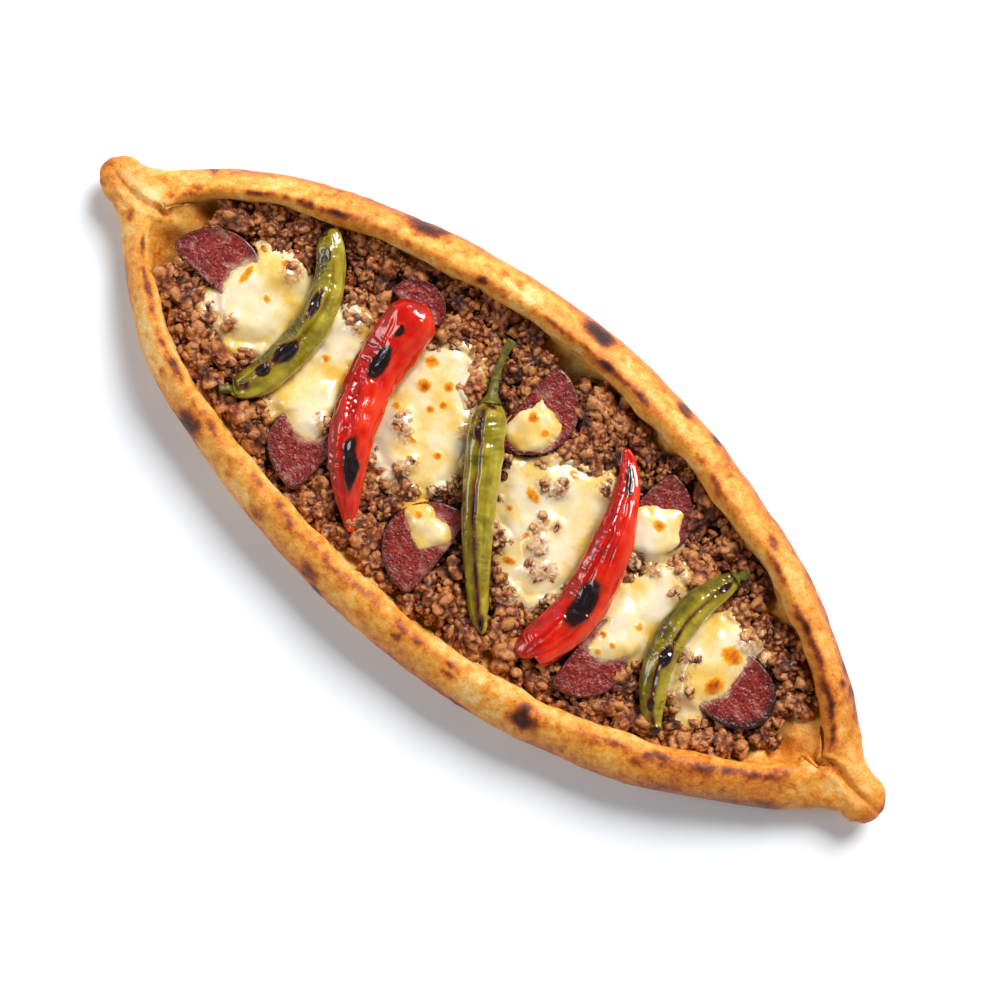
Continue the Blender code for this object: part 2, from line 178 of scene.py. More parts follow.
def new_piece(name, points, faces, finish, marks):
    """A smooth mesh in metres from points in millimetres, with named values at its points."""
    mesh = bpy.data.meshes.new(name)
    mesh.from_pydata((points * MM).tolist(), [], faces)
    for mark_name, values in marks.items():
        layer = mesh.attributes.new(mark_name, "FLOAT", "POINT")
        layer.data.foreach_set("value", np.asarray(values, np.float32))
    mesh.update()
    mesh.shade_smooth()
    mesh.materials.append(finish)
    made = bpy.data.objects.new(name, mesh)
    bpy.context.scene.collection.objects.link(made)
    return made


def ringed_piece(name, rings, finish, marks):
    """A closed skin through rings of equally many points, with a fan over each end."""
    count, around = rings.shape[:2]
    here = np.arange(around)
    after = np.roll(here, -1)
    starts = around * np.arange(count - 1)[:, None]
    quads = np.stack([starts + here, starts + after, starts + around + after, starts + around + here], -1)
    last, cap = (count - 1) * around, count * around
    fans = [[cap, b, a] for a, b in zip(here.tolist(), after.tolist())]
    fans += [[cap + 1, last + a, last + b] for a, b in zip(here.tolist(), after.tolist())]
    points = np.vstack([rings.reshape(-1, 3), rings[0].mean(0), rings[-1].mean(0)])
    marks = {key: np.concatenate([v.ravel(), v[0, :1], v[-1, :1]]) for key, v in marks.items()}
    return new_piece(name, points, quads.reshape(-1, 4).tolist() + fans, finish, marks)


def grid_normals(grid):
    """Normals of a grid of points whose rows are closed rings."""
    along = np.gradient(grid, axis=0)
    around = np.roll(grid, -1, axis=1) - np.roll(grid, 1, axis=1)
    across = np.cross(around, along)
    return across / np.maximum(np.linalg.norm(across, axis=-1, keepdims=True), 1e-9)


def serve(piece, slot, *nodes):
    """The piece is part of the whole pide and stands for its solids, which it hides. Its slot is not used."""
    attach(piece, "root")
    if nodes:
        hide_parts(*nodes)


class Value:
    """What a shader node gives out. It is added, subtracted and multiplied like a number."""

    def __init__(self, socket):
        self.socket = socket

    def worked(self, operation, other):
        node = add(self.socket.id_data, "ShaderNodeMath", _0=self, _1=other)
        node.operation = operation
        return Value(node.outputs[0])

    def __add__(self, other):
        return self.worked("ADD", other)

    def __sub__(self, other):
        return self.worked("SUBTRACT", other)

    def __mul__(self, other):
        return self.worked("MULTIPLY", other)


def tint(colour):
    """A grey from 0 to 1, or a colour as a screen shows it from 0 to 255, turned into light."""
    if isinstance(colour, float):
        return (colour, colour, colour, 1.0)
    parts = (channel / 255.0 for channel in colour)
    return (*(c / 12.92 if c < 0.04045 else ((c + 0.055) / 1.055) ** 2.4 for c in parts), 1.0)


def fill(socket, value):
    if isinstance(value, Value):
        socket.id_data.links.new(value.socket, socket)
    else:
        socket.default_value = tint(value) if isinstance(value, tuple) else value


def add(tree, kind, **inputs):
    node = tree.nodes.new(kind)
    for name, value in inputs.items():
        fill(node.inputs[int(name[1:]) if name[1:].isdigit() else name], value)
    return node


def grain(tree, size, detail=3.0, rough=0.55, warp=0.0):
    """Cloudy variation from 0 to 1 whose patches are about this many millimetres across."""
    where = Value(add(tree, "ShaderNodeTexCoord").outputs["Object"])
    node = add(tree, "ShaderNodeTexNoise", Vector=where, Scale=1.0 / (size * MM), Detail=detail,
               Roughness=rough, Distortion=warp)
    return Value(node.outputs["Fac"])


def cells(tree, size, shown="Distance"):
    """Distance to the middle of each of many small cells, or a colour of each cell's own."""
    where = Value(add(tree, "ShaderNodeTexCoord").outputs["Object"])
    node = add(tree, "ShaderNodeTexVoronoi", Vector=where, Scale=1.0 / (size * MM))
    return Value(node.outputs[shown])


def mark(tree, name):
    node = add(tree, "ShaderNodeAttribute")
    node.attribute_name = name
    return Value(node.outputs["Fac"])


def ramp(value, *stops):
    node = add(value.socket.id_data, "ShaderNodeValToRGB", Fac=value)
    band = node.color_ramp
    while len(band.elements) < len(stops):
        band.elements.new(0.5)
    for element, (at, colour) in zip(band.elements, stops):
        element.position = at
        element.color = tint(colour)
    return Value(node.outputs["Color"])


def blend(share, first, second, how="MIX"):
    node = add(share.socket.id_data, "ShaderNodeMix")
    node.data_type = "RGBA"
    node.blend_type = how
    for number, value in ((0, share), (6, first), (7, second)):
        fill(node.inputs[number], value)
    return Value(node.outputs[2])


def new_finish(name, roughness, coat, specular):
    made = bpy.data.materials.new(name)
    made.use_nodes = True
    shader = made.node_tree.nodes["Principled BSDF"]
    shader.inputs["Roughness"].default_value = roughness
    shader.inputs["Coat Weight"].default_value = coat
    shader.inputs["Coat Roughness"].default_value = 0.12
    shader.inputs["Specular IOR Level"].default_value = specular
    return made, made.node_tree, shader


def dress(shader, colour, height, depth, strength):
    """Gives a finish its colour and its fine relief, whose depth is in millimetres."""
    fill(shader.inputs["Base Color"], colour)
    bump = add(shader.id_data, "ShaderNodeBump", Height=height, Distance=depth * MM, Strength=strength)
    fill(shader.inputs["Normal"], Value(bump.outputs[0]))


def crust_finish():
    """Golden baked dough, which the toast mark darkens to red brown and black, with a matt fine skin. Besides
    the browning, the mark holds painted shade on the rim's outer face and in the pinch slit, and a painted
    highlight along the rim.
    """
    made, tree, shader = new_finish("baked_crust", 0.46, 0.0, 0.25)
    broken = grain(tree, 3.0, 5.0, 0.65) - 0.5
    cloudy = grain(tree, 17.0, 3.0, 0.6) - 0.5
    speckle = grain(tree, 0.8, 2.0, 0.6) - 0.5
    freckle = ramp(grain(tree, 5.5, 4.0, 0.6, warp=0.4), (0.52, 0.0), (0.70, 1.0))
    toast_and_shade_level = mark(tree, "toast_and_shade") + broken * 0.60 + cloudy * 0.48 + speckle * 0.30 + freckle * 0.16
    colour = ramp(
        toast_and_shade_level, (0.00, (244, 208, 144)), (0.17, (236, 170, 74)), (0.31, (220, 136, 44)),
        (0.44, (192, 104, 36)), (0.57, (148, 70, 28)), (0.72, (104, 46, 24)), (0.92, (58, 27, 19)),
    )
    colour = blend(mark(tree, "tan") * 0.6, colour, (234, 218, 206), "MULTIPLY")
    dress(shader, colour, speckle * 0.45 + broken, 0.5, 0.8)
    return made


# The rim's section: share of the way from the opening to the outer edge, and height from the
# underside to the crest. It rolls in over the filling and leaves a shallow hollow under the lip.
rim_section = (
    (0.62, 0.0), (0.86, 0.05), (0.98, 0.20), (1.0, 0.38), (0.965, 0.58), (0.86, 0.76), (0.70, 0.88),
    (0.52, 0.955), (0.36, 0.995), (0.24, 0.99), (0.12, 0.94), (0.03, 0.85), (0.0, 0.74), (0.04, 0.60),
)
under_points, rim_points, floor_points = 6, 46, 7

across_up = smooth_line(rim_section, rim_points)
crest_row = int(np.argmax(across_up[:, 1]))
tip_steps = half_length - np.array([0.02, 0.12, 0.3, 0.6, 1.0])
u = np.linspace(-1.0, 1.0, 601)
body_steps = (half_length - 1.5) * (0.7 * u + 0.3 * u * (1.5 - 0.5 * u**2))
stations = np.concatenate([-tip_steps, body_steps, tip_steps[::-1]])

base = ease(*tips_lift, np.abs(stations)) * (
    knob_middle_height - knob_half_height * knob_round(stations)
)
floor = floor_height(stations)

# Past the ends of the opening the two sides are pinched into one round of dough.
shut = ease(*sides_close, np.abs(stations))[:, None]
arc = np.radians(
    np.concatenate([
        np.linspace(-88.0, -50.0, under_points),
        np.linspace(-46.0, 86.5, rim_points),
        np.linspace(87.0, 89.0, floor_points),
    ])
)
# Where the dough of the floor has puffed up between the filling and the rim: middle, half sizes.
puffs = (
    (-144.0, 3.0, 7.0, 8.0), (140.0, 5.0, 10.0, 9.0), (134.0, -12.0, 6.0, 5.0), (-9.0, 51.0, 13.0, 4.0),
    (35.0, 50.0, 7.0, 4.0), (106.0, 31.0, 8.0, 4.5), (80.0, 41.0, 6.0, 3.5), (-17.0, -51.0, 11.0, 3.0),
    (39.0, -47.5, 6.0, 3.0), (-83.0, -42.0, 4.0, 4.0),
)


def puffed(x, y):
    total = np.zeros(np.broadcast(x, y).shape)
    for cx, cy, rx, ry in puffs:
        total = np.maximum(total, spot(x, y, cx, cy, rx, ry))
    return total * (1.0 + 0.16 * lumps(np.stack(np.broadcast_arrays(x, y, 0.0), -1), 5.0, 14.0))


sides, rolled, lips = {}, {}, {}
for side in (1, -1):
    outer = np.maximum(outer_edge(stations, side), 0.3)
    inner = inner_edge(stations, side)
    lively = np.minimum(inner / 20.0, 1.0)
    inner = inner + lively * (
        1.5 * lumps_along(stations, 14.0, 3.0 * side) + 0.5 * lumps_along(stations, 6.0, 5.0 * side)
    )
    inner = inner * np.minimum(outer / 6.0, 1.0)
    lips[side] = inner
    crest = crest_height(stations, side)
    crest = crest + 0.5 * lively * lumps_along(stations, 9.0, 7.0 * side)
    wide = (outer - inner)[:, None]
    tall = (crest - base)[:, None]
    start_y = inner + across_up[0, 0] * (outer - inner)
    under = np.linspace(0.15, 0.97, under_points)
    wall = inner[:, None] + across_up[:, 0] * wide
    wall_z = base[:, None] + across_up[:, 1] * tall
    depth = (crest - floor)[:, None]
    lip_share = 0.25 + 0.75 * (across_up[crest_row:, 1] - across_up[-1, 1]) / (1.0 - across_up[-1, 1])
    wall_z[:, crest_row:] = np.maximum(wall_z[:, crest_row:], floor[:, None] + lip_share * depth)
    in_share = np.linspace(0.99, 0.1, floor_points)
    floor_y = inner[:, None] * in_share
    rows_y = np.hstack([start_y[:, None] * under, wall, floor_y])
    corner = ease(138.0, 150.0, np.abs(stations))[:, None]
    floor_z = floor[:, None] + depth * (0.10 + 0.16 * corner) * np.linspace(1.0, 0.0, floor_points) ** 3
    floor_z = floor_z + puff_height * puffed(stations[:, None], side * floor_y)
    rows_z = np.hstack([base[:, None] + 0.0 * under, wall_z, floor_z])
    rows_y = rows_y + shut * (outer[:, None] * np.cos(arc) ** 0.8 - rows_y)
    rows_z = rows_z + shut * (base[:, None] + (tall - 0.6) * 0.5 * (1.0 + np.sin(arc)) - rows_z)
    sides[side] = np.stack([np.broadcast_to(stations[:, None], rows_y.shape), side * rows_y, rows_z], -1)
    rolled[side] = np.concatenate([np.full(under_points, 2.0), across_up[:, 0], np.full(floor_points, -1.0)])


def lip_at(x, side):
    return np.interp(x, stations, lips[side])


keel = np.stack([stations, 0.0 * stations, base], -1)[:, None]
seam_z = np.minimum(crest_height(stations, 1), crest_height(stations, -1)) - 0.6
middle_z = floor + puff_height * puffed(stations, 0.0 * stations)
middle_z = middle_z + shut[:, 0] * (seam_z - middle_z)
inside = np.stack([stations, 0.0 * stations, middle_z], -1)[:, None]
boat = np.concatenate([keel, sides[1], inside, sides[-1][:, ::-1]], axis=1)
across = np.concatenate([[2.0], rolled[1], [-1.0], rolled[-1][::-1]])
across = across + shut * (0.55 - across)

# Dents, puffs and blisters of the skin. The underside stays flat.
normal = grid_normals(boat)
if normal[len(stations) // 2, len(across_up) // 2 + under_points, 1] < 0.0:
    normal = -normal  # so that it points out of the dough
x, y, z = boat[..., 0], boat[..., 1], boat[..., 2]
free = ease(0.0, 5.0, z) * ease(0.0, 2.0, half_length - np.abs(x))
puff = 0.75 * lumps(boat, 26.0, 1.0) + 0.40 * lumps(boat, 9.0, 2.0) + 0.16 * lumps(boat, 3.6, 3.0)
shift = (puff - 0.45) * free

# Where each end is pinched: a seam that wanders off the middle, with a fold beside it.
for tip in (-1, 1):
    past = ease(147.0, 152.0, tip * x) * ease(8.0, 12.0, z)
    out_x = np.abs(x)
    if tip < 0:
        off = y + 2.2 * np.sin((out_x - 152.0) / 7.0)
    else:
        off = y - 2.4 * bell(out_x, 157.0, 6.0)
    fading = ease(half_length - 4.0, 158.0, out_x)
    shift -= past * (0.3 + 1.7 * fading) * bell(off, 0.0, 0.8 + 0.6 * fading)
    for gap, wide, high in ((2.7, 1.5, 0.8), (-3.2, 1.8, 0.5), (6.5, 2.0, 0.4)):
        shift += past * high * bell(off, gap * tip, wide) * ease(178.0, 166.0, out_x)
    twist = np.sin((out_x + 0.8 * y + 1.5 * lumps(boat, 6.0, 8.0)) / 1.3)
    shift += 0.20 * twist * free * ease(158.0, 170.0, tip * x) * ease(180.0, 175.0, out_x)
boat = boat + normal * shift[..., None]
boat[..., 2] = np.maximum(boat[..., 2], 0.0)
boat[..., 0] = np.clip(boat[..., 0], -half_length, half_length)
boat[..., 1] = np.clip(boat[..., 1], -half_width, half_width)

# How far each stretch of the crest is toasted: side, start, end, strength.
toasted_crest = (
    (1, -133, -100, 0.62), (1, -91, -86, 0.45), (1, -48, -40, 0.25), (1, -27, 27, 0.42), (1, -2, 14, 0.25),
    (1, 56, 63, 0.6), (1, 90, 101, 0.5), (1, 109, 127, 0.75), (1, 127, 150, 0.55),
    (-1, -152, -106, 0.6), (-1, -103, -98, 0.35), (-1, -94, -87, 0.4), (-1, -68, -62, 0.35),
    (-1, -54, -46, 0.6), (-1, -30, -3, 0.55), (-1, 3, 16, 0.6), (-1, 27, 33, 0.4), (-1, 54, 60, 0.45),
    (-1, 83, 97, 0.45), (-1, 99, 107, 0.65), (-1, 116, 144, 0.6),
)
# Scorched patches: side, along X, share across the rim, half length, half width, strength.
scorched = (
    (1, -76, 0.72, 7.5, 3.2, 0.62), (1, -6, 0.74, 6.2, 2.8, 0.75), (1, 35, 0.80, 4.0, 1.7, 0.5),
    (1, 50, 0.97, 3.2, 1.4, 0.5), (1, 88, 0.55, 3.8, 1.8, 0.45), (1, -45, 0.72, 2.2, 1.4, 0.3),
    (1, -38, 0.62, 2.4, 1.3, 0.3), (1, -49, 0.22, 2.0, 1.3, 0.35), (1, -77, 0.15, 2.0, 1.2, 0.3),
    (1, 105, 0.97, 3.0, 1.3, 0.35), (1, 139.5, 0.75, 1.6, 1.2, 0.5), (1, 144.5, 0.95, 1.5, 1.1, 0.5),
    (1, 137, 0.98, 3.0, 1.5, 0.4), (1, -148, 0.45, 2.0, 1.3, 0.3), (1, -148, 0.92, 2.2, 1.3, 0.3),
    (-1, -96, 0.72, 5.5, 3.2, 0.6), (-1, -58, 0.70, 2.8, 1.8, 0.35), (-1, -30, 0.70, 5.0, 2.4, 0.42),
    (-1, -25, 0.92, 3.0, 1.6, 0.45), (-1, 8, 0.50, 2.0, 1.5, 0.4), (-1, -7, 0.62, 3.0, 1.5, 0.2),
    (-1, 30, 0.52, 2.8, 1.3, 0.4), (-1, 40, 0.95, 6.0, 1.5, 0.35), (-1, 60, 0.55, 5.6, 3.2, 0.75),
    (-1, 100, 0.50, 3.2, 1.8, 0.35), (-1, -160, 0.5, 2.2, 1.4, 0.3), (-1, -115, 0.62, 2.4, 1.3, 0.3),
)
x, y, z = boat[..., 0], boat[..., 1], boat[..., 2]
toast_and_shade = 0.21 + 0.10 * lumps(boat, 34.0, 11.0) + 0.06 * ease(60.0, 120.0, x) - 0.03 * (y < 0)
toast_and_shade = toast_and_shade + 0.14 * spot(x, y, 122.0, -34.0, 22.0, 10.0, 35.0) + 0.10 * spot(x, y, 142.0, -19.0, 10.0, 8.0)
# Darker towards the rim's outer edge, partly browning and partly painted shade on the outer face, and paler
# along the middle of the rim on the +Y side as a painted highlight.
toast_and_shade += 0.20 * ease(0.70, 1.0, across) * ease(0.5, 7.0, z)
toast_and_shade -= 0.05 * bell(across, 0.52, 0.14) * (y > 0)
# On the knob at -X a pale fold line; at the tip at +X painted shade in the pinch slit.
toast_and_shade = toast_and_shade - 0.12 * spot(x, y, -156.0, 2.0, 7.0, 3.0) + 0.14 * spot(x, y, 157.0, 2.0, 5.0, 1.6)
toast_and_shade = toast_and_shade + 0.10 * spot(x, y, -178.0, -2.0, 5.0, 7.0) + 0.12 * ease(172.0, 179.0, x)
crest_line = 0.25 + 0.09 * lumps_along(x, 17.0, 4.0) + 0.05 * lumps(boat, 7.0, 16.0)
crest_band = bell(across, crest_line, 0.105)
flicker = np.clip(0.55 + 0.8 * (lumps(boat, 6.0, 9.0) + 0.7 * lumps(boat, 2.6, 13.0)), 0.0, 1.3)
toast_and_shade += (crest_band * 0.13 + bell(across, 0.30, 0.20) * 0.05) * flicker * (across >= 0.0)
toast_and_shade -= 0.06 * ease(0.16, 0.04, across) * (across >= 0.0)
for side, start, end, strength in toasted_crest:
    stretch = ease(start - 2.0, start + 2.0, x) * ease(end + 2.0, end - 2.0, x) * (np.sign(y) == side)
    toast_and_shade += crest_band * stretch * strength * (0.22 + 0.48 * flicker)
drift_x, drift_y = lumps(boat, 4.0, 17.0) + lumps(boat, 9.0, 18.0), lumps(boat, 4.0, 19.0)
for side, cx, share, rx, ry, strength in scorched:
    inner, outer = inner_edge(np.array(cx), side), outer_edge(np.array(cx), side)
    cy = side * (inner + share * (outer - inner))
    slope = (outer_edge(np.array(cx + 4.0), side) - outer_edge(np.array(cx - 4.0), side)) / 8.0
    turn = math.degrees(math.atan(side * float(slope)))
    scorch = spot(x + 1.5 * drift_x, y + 1.2 * drift_y, cx, float(cy), rx, ry, turn)
    toast_and_shade += strength * scorch * ease(6.0, 11.0, z)
baked_inside = (across < 0.0) * 1.0
toast_and_shade = toast_and_shade * (1.0 - 0.25 * baked_inside) + (0.02 + 0.09 * ease(128.0, 142.0, np.abs(x))) * baked_inside
toast_and_shade = toast_and_shade - 0.10 * baked_inside * puffed(x, y) + 0.30 * spot(x, y, -141.0, 9.0, 2.2, 1.8) * baked_inside
below = ease(2.5, 0.5, z)
toast_and_shade += below * (0.16 + 0.30 * np.clip(lumps(boat, 13.0, 21.0) + 0.25, 0.0, 1.0))

# The dough is duller along one side towards +X, and at the tip at -X.
dull_side = ease(-12.0, 10.0, y + 20.0 * ease(150.0, 160.0, x))
tan = ease(60.0, 130.0, x) * dull_side + ease(-158.0, -170.0, x)
crust = ringed_piece("crust_boat", boat, crust_finish(), {"toast_and_shade": toast_and_shade, "tan": tan})
serve(crust, "crust", "crust")

# ============================================================================
# The mince: beef browned with fat and spice, spread over the dough as a loose heap. Under it is a core
# with fine meaty relief. Clumps and small crumbs lie on the core wherever no other topping does.
# ============================================================================


def solid_of(*nodes):
    """The named solids as one thing that can be felt from above."""
    points, faces = [], []
    for node in nodes:
        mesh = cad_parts[node].data
        first = len(points)
        points += [v.co / MM for v in mesh.vertices]
        faces += [[first + i for i in polygon.vertices] for polygon in mesh.polygons]
    return BVHTree.FromPolygons(points, faces)


def top_of(tree, x, y, missing=None):
    hit = tree.ray_cast(Vector((x, y, 100.0)), Vector((0.0, 0.0, -1.0)))[0]
    return missing if hit is None else hit.z


node_names = sorted(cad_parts)
topping_nodes = [name for name in node_names if name not in ("crust", "mince")]
toppings = solid_of(*topping_nodes)
mince_solid = solid_of("mince")


def box_of(node):
    return (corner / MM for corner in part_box(node))


mince_low, mince_high = box_of("mince")


def grid_piece(name, xs, ys, top, bottom, keep, finish, marks):
    """A closed slab over the kept squares of a grid, from its bottom height to its top height."""
    rows, columns = len(xs), len(ys)
    gx, gy = np.meshgrid(xs, ys, indexing="ij")
    cell = keep[:-1, :-1] & keep[1:, :-1] & keep[:-1, 1:] & keep[1:, 1:]
    under = rows * columns
    number = np.arange(under).reshape(rows, columns)
    a, b, c, d = number[:-1, :-1], number[1:, :-1], number[1:, 1:], number[:-1, 1:]
    upper = np.stack([a, b, c, d], -1)[cell]
    sheets = [upper, upper[:, ::-1] + under]
    padded = np.pad(cell, 1)
    for dx, dy, first, second in ((-1, 0, d, a), (1, 0, b, c), (0, -1, a, b), (0, 1, c, d)):
        edge = cell & ~padded[1 + dx : rows + dx, 1 + dy : columns + dy]
        sheets.append(np.stack([second[edge], first[edge], first[edge] + under, second[edge] + under], -1))
    faces = np.vstack(sheets)
    points = np.vstack([np.stack([gx, gy, height], -1).reshape(-1, 3) for height in (top, bottom)])
    used = np.unique(faces)
    renumber = np.zeros(len(points), int)
    renumber[used] = np.arange(len(used))
    marks = {key: np.concatenate([v.ravel(), v.ravel()])[used] for key, v in marks.items()}
    return new_piece(name, points[used], renumber[faces].tolist(), finish, marks)


def mince_finish(name, light):
    """Browned meat: grey brown to red brown grain, wet with fat, with painted shade from the tone mark and
    the light share that makes it nearly black in the gaps.
    """
    made, tree, shader = new_finish(name, 0.42, 0.22, 0.40)
    fine = grain(tree, 1.1, 4.0, 0.75)
    tone = mark(tree, "tone") + fine * 0.55 - 0.28 + (grain(tree, 9.0, 2.0, 0.5) - 0.5) * 0.3
    browns = ((0.00, (36, 11, 5)), (0.28, (92, 38, 14)), (0.58, (140, 71, 29)), (1.00, (204, 134, 76)))
    colour = ramp(tone, *((at, tuple(light * c for c in brown)) for at, brown in browns))
    oily = grain(tree, 7.0, 2.0, 0.5).worked("GREATER_THAN", 0.60)
    colour = blend(oily * 0.28, colour, (184, 88, 26))
    coat = ramp(mark(tree, "cheesy") + (fine - 0.5) * 1.6, (0.42, 0.0), (0.72, 0.85))
    colour = blend(coat, colour, (234, 200, 146))
    dress(shader, colour, cells(tree, 1.1) * -0.6 + fine, 0.7, 0.9)
    return made


core_step = 1.25
core_sunk, knob_rise = 2.9, 1.3  # the core's top under the heap's, and how far its knobs stand up
heap_edge_height, crumb_sunk = 11.0, 1.2
core_xs = np.arange(mince_low.x + 1.0, mince_high.x - 0.5, core_step)
core_ys = np.arange(mince_low.y, mince_high.y + core_step, core_step)
gx, gy = np.meshgrid(core_xs, core_ys, indexing="ij")
half_room = np.where(gy > 0, lip_at(gx, 1), lip_at(gx, -1))
keep = (np.abs(gy) < 0.985 * half_room) & (puffed(gx, gy) < 0.35)
solid_top = np.array([[top_of(mince_solid, px, py, heap_edge_height) for py in core_ys] for px in core_xs])
at = np.stack([gx, gy, 0.0 * gx], -1)
knobbly = 0.5 + 0.9 * lumps(at, 4.2, 31.0) + 0.6 * lumps(at, 2.4, 32.0)
core_top = solid_top - core_sunk + knob_rise * knobbly
core_bottom = floor_height(gx) + 0.6
core_top = np.maximum(core_top, core_bottom + 0.5)
# The core is the mince darkened to a third as painted shade deep in the heap, and painted lighter on its
# higher knobs.
core = grid_piece(
    "mince_core", core_xs, core_ys, core_top, core_bottom, keep, mince_finish("mince_in_shade", 0.34),
    {"tone": 0.20 + 0.25 * knobbly, "cheesy": 0.0 * knobbly},
)
serve(core, "mince", "mince")


def clump_shape(seed, subdivisions, lobes, reach):
    """One crumb about 1 in radius: a few lobes of meat stuck together, as grinder and pan leave them.

    It gives the points, the faces, and how deep each point lies between its neighbours.
    """
    bpy.ops.mesh.primitive_ico_sphere_add(subdivisions=subdivisions, radius=1.0)
    ball = bpy.context.object
    ways = np.array([v.co[:] for v in ball.data.vertices])
    faces = np.array([p.vertices[:] for p in ball.data.polygons])
    joined = np.array([e.vertices[:] for e in ball.data.edges])
    bpy.data.objects.remove(ball)
    pick = random.Random(seed)
    out = np.full(len(ways), 0.34) ** 7
    for _ in range(lobes):
        middle = reach * np.array([pick.uniform(-half, half) for half in (1.0, 0.6, 0.5)])
        size = pick.uniform(0.27, 0.54)
        near = ways @ middle
        inside = size**2 - middle @ middle + near**2
        far = np.where(inside > 0.0, near + np.sqrt(np.maximum(inside, 0.0)), 0.0)
        out += np.maximum(far, 0.0) ** 9
    out = out ** (1.0 / 9.0)
    points = ways * out[:, None]
    crumbly = np.abs(lumps(points, 0.50, seed)) + 0.6 * np.abs(lumps(points, 0.24, seed + 5))
    out = out * (0.84 + 0.66 * crumbly + 0.20 * lumps(points, 0.8, seed + 9))
    around = out
    for _ in range(5):
        total = np.bincount(joined.ravel(), around[joined[:, ::-1]].ravel(), len(ways))
        around = total / np.bincount(joined.ravel(), minlength=len(ways))
    return ways * out[:, None], faces, np.clip((around - out) / 0.10, -1.0, 1.0)


def turned(points, spin, tilt, heading):
    """Points turned about Z, then X, then Z again."""
    for angle, (i, j) in ((spin, (0, 1)), (tilt, (1, 2)), (heading, (0, 1))):
        c, s = math.cos(angle), math.sin(angle)
        moved = points.copy()
        moved[:, i] = c * points[:, i] - s * points[:, j]
        moved[:, j] = s * points[:, i] + c * points[:, j]
        points = moved
    return points


def ring_around(x, y, reach, count):
    """Evenly spaced places at this distance."""
    for heading in range(0, 360, 360 // count):
        c, s = math.cos(math.radians(heading)), math.sin(math.radians(heading))
        yield x + reach * c, y + reach * s


def covered(x, y, reach):
    """Whether a topping lies over this place or within this distance of it."""
    return any(top_of(toppings, *place) is not None for place in [(x, y), *ring_around(x, y, reach, 6)])


cheeses = solid_of(*(name for name in node_names if name.startswith("cheese_")))


def cheese_around(x, y, reach):
    """How much cheese lies at this distance, from 0 to 1."""
    return sum(top_of(cheeses, *place) is not None for place in ring_around(x, y, reach, 8)) / 8.0


def crumb_mesh(name, places, shapes, finish, chance):
    """Crumbs at these places: along X, along Y, height of the middle, radius, how cheesy."""
    points, faces, tones, coats, total = [], [], [], [], 0
    for number, (px, py, pz, size, cheesy) in enumerate(places):
        shape, shape_faces, depth = shapes[number % len(shapes)]
        body = turned(shape, chance.uniform(0, 6.3), chance.uniform(-0.6, 0.6), chance.uniform(0, 6.3)) * size
        points.append(body + np.array([px, py, pz]))
        faces.append(shape_faces + total)
        total += len(body)
        tone = chance.triangular(0.10, 0.90, 0.46)
        # Painted shade deep between a crumb's lobes, and painted light towards its top.
        tones.append(tone - 0.42 * depth + 0.22 * body[:, 2] / size)
        coats.append(cheesy - 0.20 * depth + 0.25 * body[:, 2] / size)
    made = new_piece(
        name, np.vstack(points), np.vstack(faces).tolist(), finish,
        {"tone": np.concatenate(tones), "cheesy": np.concatenate(coats)},
    )
    serve(made, "mince")


def drop_crumbs(count, tries, radius, clear, lift, packing, chance, taken):
    """Places for crumbs, tried one by one over the heap where nothing else lies.

    As shares of a crumb's radius, clear is how far it stays from a topping, lift how far its middle lies
    over the ground, and packing how near the next crumb may come.
    """
    places = []
    for _ in range(tries):
        px = chance.uniform(mince_low.x + 2.0, mince_high.x + 5.0)
        py = chance.uniform(mince_low.y - 2.0, mince_high.y + 2.0)
        size = chance.uniform(*radius)
        room = float(lip_at(px, 1 if py > 0 else -1))
        if abs(py) > room - 0.1 * size or puffed(px, py) > 0.45 or covered(px, py, clear * size):
            continue
        if any(math.dist((px, py), (qx, qy)) < packing * (size + other) for qx, qy, other in taken):
            continue
        taken.append((px, py, size))
        ground = top_of(mince_solid, px, py, heap_edge_height) - crumb_sunk
        pz = max(ground + lift * size, float(floor_height(np.array(px))) + 0.7 * size)
        beside_cheese = (cheese_around(px, py, 2.5) + cheese_around(px, py, 5.0)) / 2.0
        places.append((px, py, pz, size, 1.5 * beside_cheese - 0.1))
        if len(places) == count:
            break
    return places


crumb_chance = random.Random(41)
mince_light = mince_finish("mince_browned", 1.0)
taken = []
clumps = drop_crumbs(154, 9000, (4.2, 7.0), 0.32, 0.20, 0.45, crumb_chance, taken)
crumbs = drop_crumbs(360, 14000, (2.3, 4.0), 0.30, 0.34, 0.46, crumb_chance, taken)
bits = drop_crumbs(340, 16000, (1.0, 2.1), 0.40, 0.50, 0.50, crumb_chance, taken)
for name, places, roundness, lobes, seeds in (
    ("mince_clumps", clumps, 4, 9, range(1, 15)),
    ("mince_crumbs", crumbs, 3, 6, range(21, 35)),
    ("mince_bits", bits, 2, 4, range(41, 53)),
):
    shapes = [clump_shape(seed, roundness, lobes, 0.64) for seed in seeds]
    crumb_mesh(name, places, shapes, mince_light, crumb_chance)

# ============================================================================
# The cheese: grated, melted over the mince and the edges of the slices, and left cream and glossy, with
# golden blisters where the oven caught it. Each patch follows its own solid and sinks between crumbs at
# its edge.
# ============================================================================


